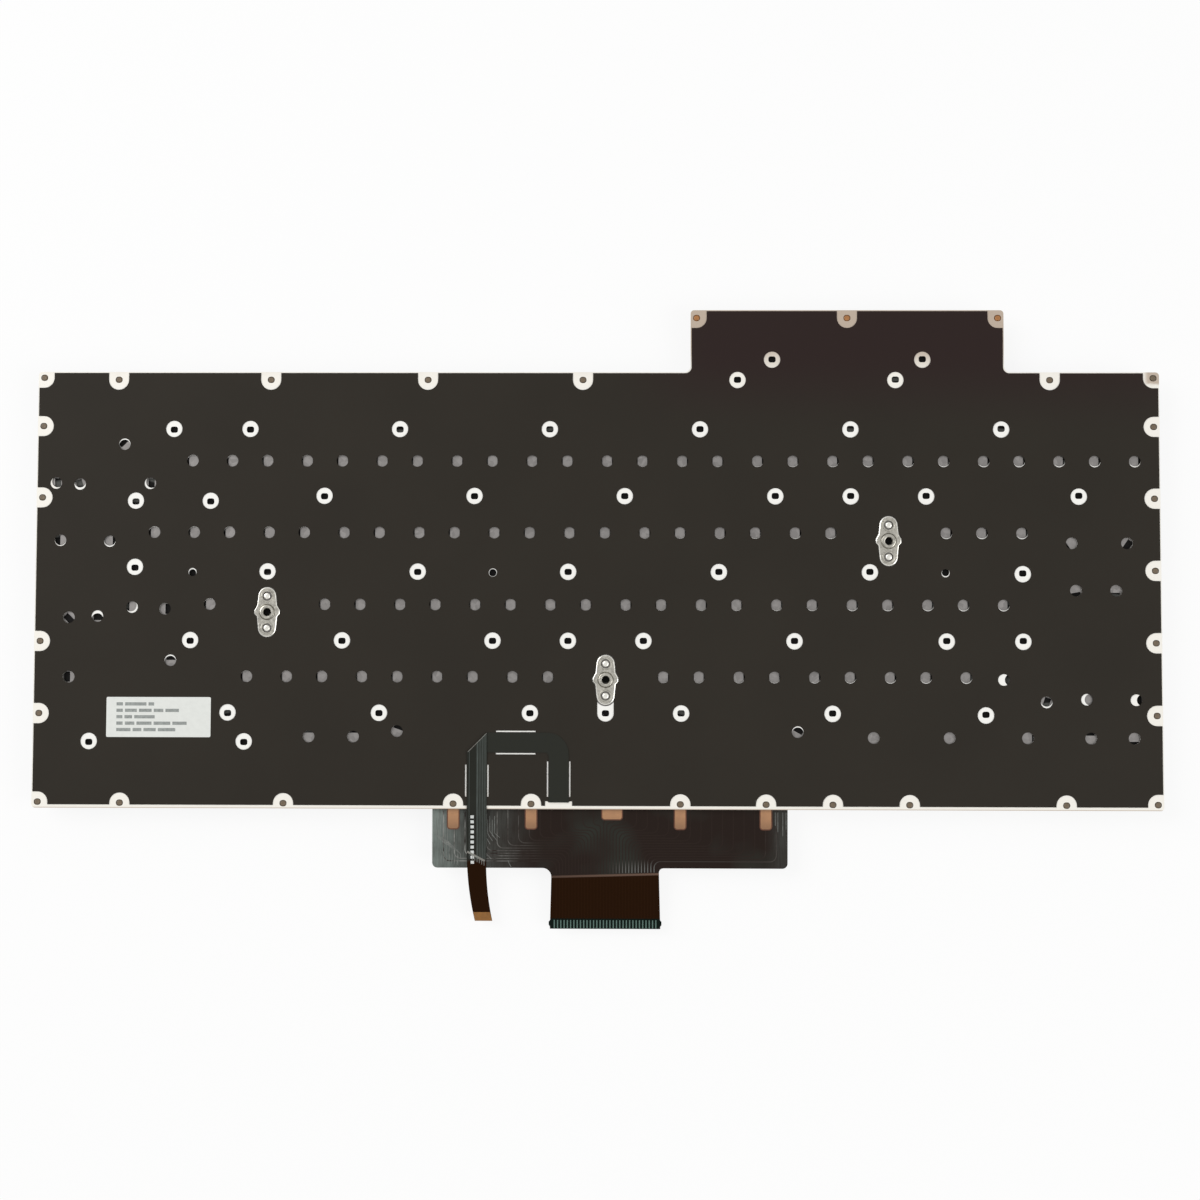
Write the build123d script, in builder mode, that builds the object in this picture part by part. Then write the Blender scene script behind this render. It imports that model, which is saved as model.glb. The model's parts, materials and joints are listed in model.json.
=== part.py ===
"""Laptop replacement keyboard with island keys, lying face down on its keycaps.

The back of the keyboard faces +Z, its front edge with the flex tails faces -Y, and the first key of
every row stands on the +X side. Z = 0 is the plane of the key tops. Sizes are in millimetres.
"""
import os
from math import atan2, degrees

from build123d import *

os.makedirs("parts", exist_ok=True)

# Key grid, in key units along a row and in rows across it
key_pitch = 19.05
row_pitch = 18.25
field_units = 14.75
typing_rows = 4
function_row_depth = 12.2
bottom_row_depth = 22.7
hot_row_depth = 12.6
hot_key_count = 4
hot_row_middle_unit = 4.04
key_gap = 3.2
arrow_gap = 1.0

# Widths of the keys in each row, in key units, from the +X side
function_widths = [1.35] + [1.035] * 12 + [0.98]
number_widths = [1.0] * 13 + [1.75]
upper_widths = [1.5] + [1.0] * 12 + [1.25]
home_widths = [1.75] + [1.0] * 11 + [2.0]
lower_widths = [2.25] + [1.0] * 10 + [2.5]
bottom_widths = [1.18, 1.03, 1.03, 1.01, 6.0, 1.25]
arrow_columns = 3

# Keycaps and rubber domes
cap_height = 2.1
cap_top = 0.9
cap_wall = 0.8
cap_draft_angle = 12.0
key_travel = 1.7
travel_clearance = 0.1
dome_tip_width = 3.6
dome_base_width = 5.6

# Sheets, from the key side to the back
membrane_thickness = 0.25
plate_thickness = 0.4
guide_thickness = 0.3
reflector_thickness = 0.1
backing_thickness = 0.1
rim = 1.4
side_rim = 1.9
corner_cut = 0.9
plate_inset = 0.3
inner_sheet_inset = 4.0
backing_inset = 0.25
backing_front_inset = 0.85
bump_depth = 15.9
bump_margin = 1.6

# Sides of the polygons that stand for round outlines, few of them for a light mesh
round_sides = 8
window_sides = 6
pin_hole_sides = 4

# Stake rings: windows in the backing film with a small hole in the white film behind
ring_window_radius = 2.15
ring_hole_radius = 0.7
tab_radius = 2.5
back_tab_inset = 2.0
front_tab_inset = 1.3
side_tab_inset = 1.5
side_tab_drop = 0.3
corner_hole_radius = 0.7
corner_hole_inset = 1.5

# Rings between the typing rows: row line (the upper edge of that row), drop below it, key units
ring_rows = [
    (0, 1.0, [2, 4, 6, 8, 10, 12, 13.02]),
    (1, -0.2, [0.98, 3, 4, 5, 7, 9, 11]),
    (1, 1.1, [12.52, 13.52]),
    (2, 0.8, [3.75, 5.75, 7.75, 9.75, 11.75]),
    (2, 1.2, [1.73]),
    (2, -0.3, [13.52]),
    (3, 0.0, [1.73, 2.74, 4.75, 6.75, 7.75, 8.75, 10.75, 12.77]),
    (4, 0.0, [4.25, 6.25, 7.25, 8.25, 10.25, 12.26]),
    (4, 0.3, [2.23]),
]
function_ring_units = [3.4, 5.5]
function_ring_inset = 2.0
hot_ring_rise = 3.2
arrow_ring_units = [12.04, 14.1]
arrow_ring_drop = 7.3

# Edge tabs, in key units along the back and front edges and on row lines at the two sides
back_tab_units = [1.35, 7.56, 9.63, 11.73, 13.77]
front_tab_units = [1.18, 3.24, 4.25, 5.13, 6.26, 8.23, 9.26, 11.51, 13.68]
first_side_tab_lines = [0, 1, 2, 3, 4]
last_side_tab_lines = [0, 1, 3, 4]

# Hook windows: two behind each typing key, and some behind the wider keys
hook_offset = 5.05
hook_window = 2.7
wide_key_hooks = {
    0: [(13.33, -5.8), (13.68, 4.2), (14.27, -6.0), (14.59, -5.75)],
    1: [(0.35, -2.5), (1.08, -2.5), (13.86, -2.3), (14.52, -2.1)],
    2: [(0.5, 3.8), (1.03, 3.8), (13.11, -1.2), (13.55, -0.8), (14.01, -3.1), (14.39, -3.4)],
    3: [(0.25, -5.5), (0.9, -5.4), (1.43, -6.1), (1.99, -0.5), (13.03, 4.0), (14.38, -0.2)],
}
bottom_hook_units = [0.28, 0.85, 1.68, 2.71, 3.71, 10.59, 11.18]
bottom_hook_drop = 6.0
space_hook_units = [4.71, 10.01]
space_hook_drop = 4.6
vent_positions = [(2.75, 2), (8.75, 2), (12.75, 2)]
vent_radius = 0.9
vent_drop = 1.0

# Nut brackets, each over the line between two keys of a typing row: unit, row, drop
bracket_places = [(11.75, 2, 2.0), (3.5, 1, 2.0), (7.25, 3, 0.7)]
bracket_end_radius = 2.3
bracket_middle_radius = 3.2
bracket_rivet_offset = 4.05
bracket_thickness = 0.55
bracket_clearance = 0.3
boss_radius = 1.8
boss_height = 1.2
boss_sides = 12
nut_hole_radius = 1.0
rivet_radius = 0.9
rivet_height = 0.3

# Flex tails
main_flex_thickness = 0.15
main_flex_wide = 89.4
main_flex_middle_unit = 7.19
main_flex_wide_reach = 14.8
main_flex_narrow = 27.0
main_flex_narrow_unit = 7.25
main_flex_corner = 3.0
main_flex_tongue = 5.0
tail_reach = 30.1
wide_droop = 0.5
narrow_droop = 1.4
stiffener_thickness = 0.2
stiffener_length = 2.6
stiffener_ear = 0.7
backlight_thickness = 0.15
backlight_width = 5.0
backlight_entry_unit = 7.866
backlight_exit_unit = 8.947
backlight_turn_drop = 7.4
backlight_corner = 3.0
backlight_tail_reach = 28.2
backlight_tail_drift = 1.7
backlight_end_width = 4.4
backlight_edge_run = 5.0
backlight_end_droop = 1.6
backlight_lift = 0.05
backlight_stiffener_length = 2.2
slit_width = 0.35
exit_slit_length = 8.0
entry_slit_length = 8.9
turn_slit_length = 10.0
turn_slit_shift = -0.55
slit_clearance = 0.3

# Label
label_width = 26.4
label_depth = 10.1
label_thickness = 0.1
label_middle_unit = 13.175
label_drop = 10.35

# Heights of the faces, worked out from the stack
membrane_z = cap_height + key_travel + travel_clearance
plate_z = membrane_z + membrane_thickness
guide_z = plate_z + plate_thickness
reflector_z = guide_z + guide_thickness
backing_z = reflector_z + reflector_thickness
back_z = backing_z + backing_thickness

# Outline in plan, with the origin at the middle of the whole footprint
field_depth = typing_rows * row_pitch
bump_above_field = function_row_depth + rim + bump_depth
tail_below_field = bottom_row_depth + rim + tail_reach
field_middle_y = (tail_below_field - bump_above_field) / 2
field_back_y = field_middle_y + field_depth / 2
field_front_y = field_middle_y - field_depth / 2
back_edge_y = field_back_y + function_row_depth + rim
bump_edge_y = back_edge_y + bump_depth
front_edge_y = field_front_y - bottom_row_depth - rim
tail_end_y = front_edge_y - tail_reach
half_width = field_units * key_pitch / 2 + side_rim
bump_half_width = hot_key_count * key_pitch / 2 + bump_margin


def unit_x(unit):
    """X of a place counted in key units from the +X side of the key field."""
    return (field_units / 2 - unit) * key_pitch


def row_line_y(line):
    """Y of the upper edge of a typing row, or of the field's front edge for the last line."""
    return field_back_y - line * row_pitch


def row_y(row):
    """Y of the middle of a typing row."""
    return row_line_y(row + 0.5)


bump_middle_x = unit_x(hot_row_middle_unit)
bump_first_x = bump_middle_x + bump_half_width
bump_last_x = bump_middle_x - bump_half_width


def row_of_keys(widths, middle_y, depth, first_unit=0.0):
    """Middle, width and depth of the caps of one row, from a list of widths in key units."""
    caps = []
    unit = first_unit
    for width in widths:
        caps.append((unit_x(unit + width / 2), middle_y, width * key_pitch - key_gap, depth - key_gap))
        unit += width
    return caps


def arrow_keys():
    """Half-depth caps at the end of the bottom row: three in front and one above the middle one."""
    first_unit = sum(bottom_widths)
    width = (field_units - first_unit) / arrow_columns
    depth = (bottom_row_depth - key_gap - arrow_gap) / 2
    front_y = field_front_y - bottom_row_depth + key_gap / 2 + depth / 2
    upper_y = front_y + depth + arrow_gap
    front = row_of_keys([width] * arrow_columns, front_y, depth + key_gap, first_unit)
    upper = row_of_keys([width], upper_y, depth + key_gap, first_unit + width)
    return front + upper


def typing_row(widths, row):
    """Caps of one typing row, split into the one-unit keys and the wider ones."""
    caps = row_of_keys(widths, row_y(row), row_pitch)
    single = [cap for cap, width in zip(caps, widths) if width == 1.0]
    wide = [cap for cap, width in zip(caps, widths) if width != 1.0]
    return single, wide


typing_names = ["number", "upper", "home", "lower"]
typing_widths = [number_widths, upper_widths, home_widths, lower_widths]
single_caps = []
wide_caps = []
for row, widths in enumerate(typing_widths):
    single, wide = typing_row(widths, row)
    single_caps.append(single)
    wide_caps += wide

function_row_y = field_back_y + function_row_depth / 2
bottom_row_y = field_front_y - bottom_row_depth / 2
hot_row_y = bump_edge_y - rim - hot_row_depth / 2
hot_first_unit = hot_row_middle_unit - hot_key_count / 2
other_caps = wide_caps
other_caps += row_of_keys(function_widths, function_row_y, function_row_depth)
other_caps += row_of_keys(bottom_widths, bottom_row_y, bottom_row_depth)
other_caps += row_of_keys([1.0] * hot_key_count, hot_row_y, hot_row_depth, hot_first_unit)
other_caps += arrow_keys()
all_caps = sum(single_caps, []) + other_caps


def tapered_block(width, depth, base_z, height, angle):
    """Four-sided block that stands down from a base plane and narrows by an angle."""
    with BuildPart() as block:
        with BuildSketch(Plane.XY.offset(base_z)):
            Rectangle(width, depth)
        extrude(amount=-height)
        sides = block.faces().filter_by(Axis.Z, reverse=True)
        draft(sides, Plane((0, 0, base_z), z_dir=(0, 0, -1)), angle)
    return block.part


def cap_solid(width, depth):
    """Hollow keycap that tapers from its skirt to its top, with a pocket for dome and levers."""
    with BuildPart() as cap_part:
        add(tapered_block(width, depth, cap_height, cap_height, cap_draft_angle))
        with BuildSketch(Plane.XY.offset(cap_height)):
            Rectangle(width - 2 * cap_wall, depth - 2 * cap_wall)
        extrude(amount=cap_top - cap_height, mode=Mode.SUBTRACT)
    return cap_part.part


def sheet_outline(inset):
    """Plan of a sheet: the long block with its bump, pulled in from the outermost edge."""
    with BuildSketch() as outline:
        with BuildLine():
            Polyline(
                (-half_width, front_edge_y),
                (half_width, front_edge_y),
                (half_width, back_edge_y),
                (bump_first_x, back_edge_y),
                (bump_first_x, bump_edge_y),
                (bump_last_x, bump_edge_y),
                (bump_last_x, back_edge_y),
                (-half_width, back_edge_y),
                close=True,
            )
        make_face()
        chamfer(outline.vertices(), corner_cut)
        offset(amount=-inset, kind=Kind.INTERSECTION)
    return outline.sketch


def ring_places():
    """Middles of the stake rings inside the outline."""
    places = []
    for line, drop, units in ring_rows:
        places += [(unit_x(unit), row_line_y(line) - drop) for unit in units]
    places += [(unit_x(unit), back_edge_y - function_ring_inset) for unit in function_ring_units]
    hot_units = [hot_row_middle_unit - 1, hot_row_middle_unit + 1]
    places += [(unit_x(unit), back_edge_y + hot_ring_rise) for unit in hot_units]
    places += [(unit_x(unit), field_front_y - arrow_ring_drop) for unit in arrow_ring_units]
    return places


def edge_tab_places():
    """Middles of the half-round tabs along the edges, without the four outer corners."""
    back = back_edge_y - back_tab_inset
    front = front_edge_y + front_tab_inset
    bump = bump_edge_y - back_tab_inset
    side = half_width - side_tab_inset
    places = [(unit_x(unit), back) for unit in back_tab_units]
    places += [(unit_x(unit), front) for unit in front_tab_units]
    places += [(side, row_line_y(line) - side_tab_drop) for line in first_side_tab_lines]
    places += [(-side, row_line_y(line) - side_tab_drop) for line in last_side_tab_lines]
    places += [(bump_first_x - side_tab_inset, bump), (bump_middle_x, bump)]
    places += [(bump_last_x + side_tab_inset, bump)]
    return places


def corner_places():
    """Middles of the stake holes in the four outer corners."""
    side = half_width - corner_hole_inset
    back = back_edge_y - corner_hole_inset
    front = front_edge_y + corner_hole_inset
    return [(side, back), (-side, back), (side, front), (-side, front)]


def bracket_middles():
    """Middles of the nut brackets."""
    return [(unit_x(unit), row_y(row) - drop) for unit, row, drop in bracket_places]


def hook_places():
    """Middles of the hook windows, without those that a nut bracket takes the place of."""
    places = []
    for row, caps in enumerate(single_caps):
        taken = [unit_x(unit) for unit, bracket_row, drop in bracket_places if bracket_row == row]
        for x, y, width, depth in caps:
            for side in (-hook_offset, hook_offset):
                if all(abs(x + side - bracket_x) > key_pitch / 2 for bracket_x in taken):
                    places.append((x + side, y))
    for row, hooks in wide_key_hooks.items():
        places += [(unit_x(unit), row_y(row) + rise) for unit, rise in hooks]
    places += [(unit_x(unit), field_front_y - bottom_hook_drop) for unit in bottom_hook_units]
    places += [(unit_x(unit), field_front_y - space_hook_drop) for unit in space_hook_units]
    return places


def bracket_plan(growth):
    """Plan of a nut bracket: a round middle between two smaller round ends, drawn eight-sided."""
    with BuildSketch() as plan:
        RegularPolygon(bracket_middle_radius + growth, round_sides, rotation=180 / round_sides)
        with Locations((0, bracket_rivet_offset), (0, -bracket_rivet_offset)):
            RegularPolygon(bracket_end_radius + growth, round_sides, rotation=180 / round_sides)
    return plan.sketch


def bracket_opening():
    """Plain opening round a nut bracket in the sheets that the backing film covers."""
    opening_width = 2 * (bracket_middle_radius + bracket_clearance)
    opening_length = 2 * (bracket_rivet_offset + bracket_end_radius + bracket_clearance)
    with BuildSketch() as opening:
        Rectangle(opening_width, opening_length)
    return opening.sketch


# Keycaps: each one-unit typing key is a piece of its own
for name, caps in zip(typing_names, single_caps):
    for index, cap in enumerate(caps, start=1):
        key_name = f"{name}_key_{index:02d}"
        x, y, width, depth = cap
        with BuildPart() as keycap:
            with Locations((x, y)):
                add(cap_solid(width, depth))
        keycap.part.label = key_name
        export_step(keycap.part, f"parts/{key_name}.step")

# The wider, half-depth and function keys, together in one piece file
with BuildPart() as fixed_keycaps:
    add([Pos(x, y) * cap_solid(width, depth) for x, y, width, depth in other_caps])
fixed_keycaps.part.label = "fixed_keycaps"
export_step(fixed_keycaps.part, "parts/fixed_keycaps.step")

# Rubber domes: one between each keycap and the membrane, four-sided here for a light mesh
dome_height = membrane_z - cap_top
dome_angle = degrees(atan2((dome_base_width - dome_tip_width) / 2, dome_height))
with BuildPart() as rubber_domes:
    with Locations(*[(x, y) for x, y, width, depth in all_caps]):
        add(tapered_block(dome_base_width, dome_base_width, membrane_z, dome_height, dome_angle))
rubber_domes.part.label = "rubber_domes"
export_step(rubber_domes.part, "parts/rubber_domes.step")

# Membrane circuit, with a bay at the front where the main flex tail joins it
flex_middle_x = unit_x(main_flex_middle_unit)
bay_depth = main_flex_tongue - inner_sheet_inset
with BuildPart() as membrane_circuit:
    with BuildSketch(Plane.XY.offset(membrane_z)):
        add(sheet_outline(inner_sheet_inset))
        with Locations((flex_middle_x, front_edge_y + inner_sheet_inset)):
            Rectangle(main_flex_wide, 2 * bay_depth, mode=Mode.SUBTRACT)
    extrude(amount=membrane_thickness)
membrane_circuit.part.label = "membrane_circuit"
export_step(membrane_circuit.part, "parts/membrane_circuit.step")

# Support plate, with the four round stake holes in its corners
with BuildPart() as support_plate:
    with BuildSketch(Plane.XY.offset(plate_z)):
        add(sheet_outline(plate_inset))
        with Locations(*corner_places()):
            Circle(corner_hole_radius, mode=Mode.SUBTRACT)
    extrude(amount=plate_thickness)
support_plate.part.label = "support_plate"
export_step(support_plate.part, "parts/support_plate.step")

# Light guide, open round the nut brackets
with BuildPart() as light_guide:
    with BuildSketch(Plane.XY.offset(guide_z)):
        add(sheet_outline(inner_sheet_inset))
        with Locations(*bracket_middles()):
            add(bracket_opening(), mode=Mode.SUBTRACT)
    extrude(amount=guide_thickness)
light_guide.part.label = "light_guide"
export_step(light_guide.part, "parts/light_guide.step")

# Reflector film: its small stake holes are round on the real sheet and four-sided here
with BuildPart() as reflector_film:
    with BuildSketch(Plane.XY.offset(reflector_z)):
        add(sheet_outline(0))
        with Locations(*ring_places(), *edge_tab_places()):
            RegularPolygon(ring_hole_radius, pin_hole_sides, mode=Mode.SUBTRACT)
        with Locations(*corner_places()):
            RegularPolygon(corner_hole_radius * 2, pin_hole_sides, mode=Mode.SUBTRACT)
        with Locations(*bracket_middles()):
            add(bracket_opening(), mode=Mode.SUBTRACT)
    extrude(amount=reflector_thickness)
reflector_film.part.label = "reflector_film"
export_step(reflector_film.part, "parts/reflector_film.step")

# Flex routes in plan
entry_x = unit_x(backlight_entry_unit)
exit_x = unit_x(backlight_exit_unit)
turn_y = field_front_y - backlight_turn_drop
half_flex = backlight_width / 2
slit_offset = half_flex + slit_clearance
exit_slit_y = (turn_y - half_flex + front_edge_y) / 2
entry_slit_y = exit_slit_y + (entry_slit_length - exit_slit_length) / 2
turn_slit_x = (entry_x + exit_x) / 2 + turn_slit_shift


# Backing film: the hook windows are D-shaped on the real film and square here
vent_places = [(unit_x(unit), row_line_y(line) - vent_drop) for unit, line in vent_positions]
joined_unit, joined_row, joined_drop = bracket_places[-1]
joined_top = row_y(joined_row) - joined_drop - bracket_rivet_offset
joined_bottom = row_line_y(joined_row + 1)
with BuildPart() as backing_film:
    with BuildSketch(Plane.XY.offset(backing_z)):
        add(sheet_outline(backing_inset))
        with Locations((0, front_edge_y)):
            Rectangle(2 * half_width, 2 * backing_front_inset, mode=Mode.SUBTRACT)
        with Locations(*ring_places()):
            RegularPolygon(ring_window_radius, window_sides, mode=Mode.SUBTRACT)
        with Locations(*edge_tab_places(), *corner_places()):
            RegularPolygon(tab_radius, window_sides, mode=Mode.SUBTRACT)
        with Locations(*hook_places()):
            Rectangle(hook_window, hook_window, mode=Mode.SUBTRACT)
        with Locations(*vent_places):
            RegularPolygon(vent_radius, pin_hole_sides, mode=Mode.SUBTRACT)
        with Locations(*bracket_middles()):
            add(bracket_plan(bracket_clearance), mode=Mode.SUBTRACT)
        with Locations((unit_x(joined_unit), (joined_top + joined_bottom) / 2)):
            Rectangle(2 * ring_window_radius, joined_top - joined_bottom, mode=Mode.SUBTRACT)
        for side in (-slit_offset, slit_offset):
            with Locations((exit_x + side, exit_slit_y)):
                Rectangle(slit_width, exit_slit_length, mode=Mode.SUBTRACT)
            with Locations((entry_x + side, entry_slit_y)):
                Rectangle(slit_width, entry_slit_length, mode=Mode.SUBTRACT)
            with Locations((turn_slit_x, turn_y + side)):
                Rectangle(turn_slit_length, slit_width, mode=Mode.SUBTRACT)
    extrude(amount=backing_thickness)
backing_film.part.label = "backing_film"
export_step(backing_film.part, "parts/backing_film.step")

# Nut brackets: stamped straps on the plate, each with a threaded boss
with BuildPart() as nut_brackets:
    with BuildSketch(Plane.XY.offset(guide_z)):
        with Locations(*bracket_middles()):
            add(bracket_plan(0))
    extrude(amount=bracket_thickness)
    with BuildSketch(Plane.XY.offset(guide_z)):
        with Locations(*bracket_middles()):
            RegularPolygon(boss_radius, boss_sides)
    extrude(amount=boss_height)
    with Locations(*[(x, y, guide_z + boss_height) for x, y in bracket_middles()]):
        Hole(nut_hole_radius, depth=boss_height)
nut_brackets.part.label = "nut_brackets"
export_step(nut_brackets.part, "parts/nut_brackets.step")

# Rivet heads on the bracket ends
rivet_sides = (-bracket_rivet_offset, bracket_rivet_offset)
rivet_places = [(x, y + side) for x, y in bracket_middles() for side in rivet_sides]
with BuildPart() as bracket_rivets:
    with BuildSketch(Plane.XY.offset(guide_z + bracket_thickness)):
        with Locations(*rivet_places):
            RegularPolygon(rivet_radius, round_sides)
    extrude(amount=rivet_height)
bracket_rivets.part.label = "bracket_rivets"
export_step(bracket_rivets.part, "parts/bracket_rivets.step")


def film_band(run, thickness, middle_x, width):
    """Film whose lower face follows a run of (y, z) points, with the given width along X."""
    upper = [(y, z + thickness) for y, z in reversed(run)]
    with BuildPart() as band:
        with BuildSketch(Plane.YZ.offset(middle_x)):
            with BuildLine():
                Polyline(*run, *upper, close=True)
            make_face()
        extrude(amount=width / 2, both=True)
    return band.part


# Main flex tail: its tongue lies under the plate, its free length droops towards the contact end
narrow_x = unit_x(main_flex_narrow_unit)
tongue_y = front_edge_y + main_flex_tongue
wide_end_y = front_edge_y - main_flex_wide_reach
tongue_z = plate_z - main_flex_thickness
wide_end_z = tongue_z - wide_droop
tail_end_z = wide_end_z - narrow_droop
narrow_slope = narrow_droop / (wide_end_y - tail_end_y)
main_run = [
    (tongue_y, tongue_z),
    (front_edge_y, tongue_z),
    (wide_end_y, wide_end_z),
    (tail_end_y, tail_end_z),
]
with BuildPart() as main_flex:
    add(film_band(main_run, main_flex_thickness, flex_middle_x, main_flex_wide))
    with BuildSketch() as main_plan:
        with Locations((flex_middle_x, wide_end_y)):
            Rectangle(main_flex_wide, tongue_y - wide_end_y, align=(Align.CENTER, Align.MIN))
        with Locations((narrow_x, tail_end_y)):
            Rectangle(main_flex_narrow, wide_end_y - tail_end_y, align=(Align.CENTER, Align.MIN))
        shoulders = main_plan.vertices().filter_by_position(Axis.Y, wide_end_y - 0.1, wide_end_y + 0.1)
        chamfer(shoulders, main_flex_corner)
    extrude(amount=back_z, mode=Mode.INTERSECT)
main_flex.part.label = "main_flex"
export_step(main_flex.part, "parts/main_flex.step")

# Stiffener under the contact end of the main flex tail, with an ear at each side
stiffener_y = tail_end_y + stiffener_length
stiffener_end_z = tail_end_z - stiffener_thickness
stiffener_z = stiffener_end_z + narrow_slope * stiffener_length
stiffener_run = [(stiffener_y, stiffener_z), (tail_end_y, stiffener_end_z)]
with BuildPart() as main_flex_stiffener:
    add(film_band(stiffener_run, stiffener_thickness, narrow_x, main_flex_narrow + 2 * stiffener_ear))
main_flex_stiffener.part.label = "main_flex_stiffener"
export_step(main_flex_stiffener.part, "parts/main_flex_stiffener.step")

# Backlight flex: a U on the backing film, folded at 45 degrees, then a tail over the main flex
landing_y = front_edge_y - backlight_edge_run
landing_slope = wide_droop / main_flex_wide_reach
landing_z = plate_z - landing_slope * backlight_edge_run + backlight_lift
leave_z = plate_z - wide_droop + backlight_lift
backlight_end_y = front_edge_y - backlight_tail_reach
backlight_end_z = leave_z - backlight_end_droop
film_start_y = front_edge_y + backing_front_inset
end_x = exit_x + backlight_tail_drift
half_end = backlight_end_width / 2
tail_run = [
    (film_start_y, back_z),
    (front_edge_y, back_z),
    (landing_y, landing_z),
    (wide_end_y, leave_z),
    (backlight_end_y, backlight_end_z),
]
tail_middle_x = (exit_x + end_x) / 2
tail_span = backlight_width + 2 * abs(backlight_tail_drift)
with BuildPart() as backlight_flex:
    add(film_band(tail_run, backlight_thickness, tail_middle_x, tail_span))
    with BuildSketch():
        with BuildLine():
            Polyline(
                (exit_x - half_flex, film_start_y),
                (exit_x - half_flex, landing_y),
                (end_x - half_end, backlight_end_y),
                (end_x + half_end, backlight_end_y),
                (exit_x + half_flex, landing_y),
                (exit_x + half_flex, film_start_y),
                close=True,
            )
        make_face()
    extrude(amount=back_z + backlight_thickness, mode=Mode.INTERSECT)
    with BuildSketch(Plane.XY.offset(back_z)) as route:
        with BuildLine():
            Polyline(
                (entry_x - half_flex, film_start_y),
                (entry_x + half_flex, film_start_y),
                (entry_x + half_flex, turn_y + half_flex),
                (exit_x + half_flex, turn_y + half_flex),
                (exit_x - half_flex, turn_y - half_flex),
                (exit_x - half_flex, film_start_y),
                (exit_x + half_flex, film_start_y),
                (exit_x + half_flex, turn_y - half_flex),
                (entry_x - half_flex, turn_y - half_flex),
                close=True,
            )
        make_face()
        outer_turn = route.vertices().sort_by_distance((entry_x + half_flex, turn_y + half_flex))[0]
        chamfer(outer_turn, backlight_corner)
    extrude(amount=backlight_thickness)
backlight_flex.part.label = "backlight_flex"
export_step(backlight_flex.part, "parts/backlight_flex.step")

# Stiffener under the contact end of the backlight flex
backlight_slope = backlight_end_droop / (wide_end_y - backlight_end_y)
back_stiffener_end_z = backlight_end_z - stiffener_thickness
back_stiffener_y = backlight_end_y + backlight_stiffener_length
back_stiffener_z = back_stiffener_end_z + backlight_slope * backlight_stiffener_length
back_stiffener_run = [(back_stiffener_y, back_stiffener_z), (backlight_end_y, back_stiffener_end_z)]
with BuildPart() as backlight_stiffener:
    add(film_band(back_stiffener_run, stiffener_thickness, end_x, backlight_end_width))
backlight_stiffener.part.label = "backlight_stiffener"
export_step(backlight_stiffener.part, "parts/backlight_stiffener.step")

# Label on the backing film
with BuildPart() as label:
    with BuildSketch(Plane.XY.offset(back_z)):
        with Locations((unit_x(label_middle_unit), row_y(typing_rows - 1) - label_drop)):
            Rectangle(label_width, label_depth)
    extrude(amount=label_thickness)
label.part.label = "label"
export_step(label.part, "parts/label.step")
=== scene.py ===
"""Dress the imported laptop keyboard: films, steel, flexes, label, keys and the studio it lies in."""
import json
import math

import bmesh
import bpy
from bpy.props import FloatProperty, FloatVectorProperty, IntProperty, PointerProperty
from mathutils import Matrix, Vector
from mathutils.geometry import delaunay_2d_cdt


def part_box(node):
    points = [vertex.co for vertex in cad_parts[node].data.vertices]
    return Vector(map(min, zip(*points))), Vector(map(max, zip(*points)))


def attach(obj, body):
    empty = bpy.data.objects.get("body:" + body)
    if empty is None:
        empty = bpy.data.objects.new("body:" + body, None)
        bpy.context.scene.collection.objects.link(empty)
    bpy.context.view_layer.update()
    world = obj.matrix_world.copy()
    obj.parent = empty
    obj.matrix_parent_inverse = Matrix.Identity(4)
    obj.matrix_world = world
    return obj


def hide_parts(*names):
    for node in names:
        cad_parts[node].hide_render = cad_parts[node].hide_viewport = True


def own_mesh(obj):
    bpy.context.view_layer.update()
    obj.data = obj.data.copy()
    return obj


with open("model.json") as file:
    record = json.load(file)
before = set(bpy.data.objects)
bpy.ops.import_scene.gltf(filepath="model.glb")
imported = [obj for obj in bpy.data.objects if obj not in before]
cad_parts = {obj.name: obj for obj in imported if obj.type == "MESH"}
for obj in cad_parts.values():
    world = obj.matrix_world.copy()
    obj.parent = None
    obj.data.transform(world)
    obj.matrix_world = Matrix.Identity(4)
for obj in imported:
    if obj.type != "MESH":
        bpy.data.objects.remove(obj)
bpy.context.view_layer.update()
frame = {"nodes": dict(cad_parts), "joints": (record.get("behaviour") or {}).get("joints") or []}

bl_info = {
    "name": "Laptop Keyboard Dresser",
    "version": (1, 0, 0),
    "blender": (4, 5, 0),
    "location": "View3D > Sidebar > Keyboard",
    "description": "Dress the packed laptop keyboard and light it as a product photograph",
    "category": "Object",
}

MM = 0.001
CHASSIS = "chassis"

# Sides of the round outlines
RING_SIDES = 40
BOSS_SIDES = 32
SEAT_SIDES = 28
WINDOW_SIDES = 24
RIVET_SIDES = 24
VENT_SIDES = 20
DOME_SIDES = 20
HOLE_SIDES = 18

# The openings in the films are told apart by their size: a slit is narrower than the first of these,
# and the others are the most that a vent, a hook window and a ring window measure.
SLIT = 1 * MM
VENT_MOST = 2.5 * MM
HOOK_MOST = 3.5 * MM
RING_MOST = 20 * MM

# From the middle of a key to its pair of hook windows, and how far a window may lie off that place
HOOK_REACH = 5 * MM
HOOK_SLACK = 0.5 * MM

# A ring that lies within this distance below a bracket shares its window.
RING_BELOW = 9 * MM


def linear(code):
    """An sRGB hex colour as the linear colour that a shader socket takes."""
    parts = [int(code[i:i + 2], 16) / 255 for i in (1, 3, 5)]
    return [c / 12.92 if c <= 0.04045 else ((c + 0.055) / 1.055) ** 2.4 for c in parts] + [1.0]


def length(name, millimetres, description):
    """A length property whose default is written in millimetres."""
    return FloatProperty(
        name=name, description=description, default=millimetres * MM, unit="LENGTH", precision=6
    )


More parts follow.
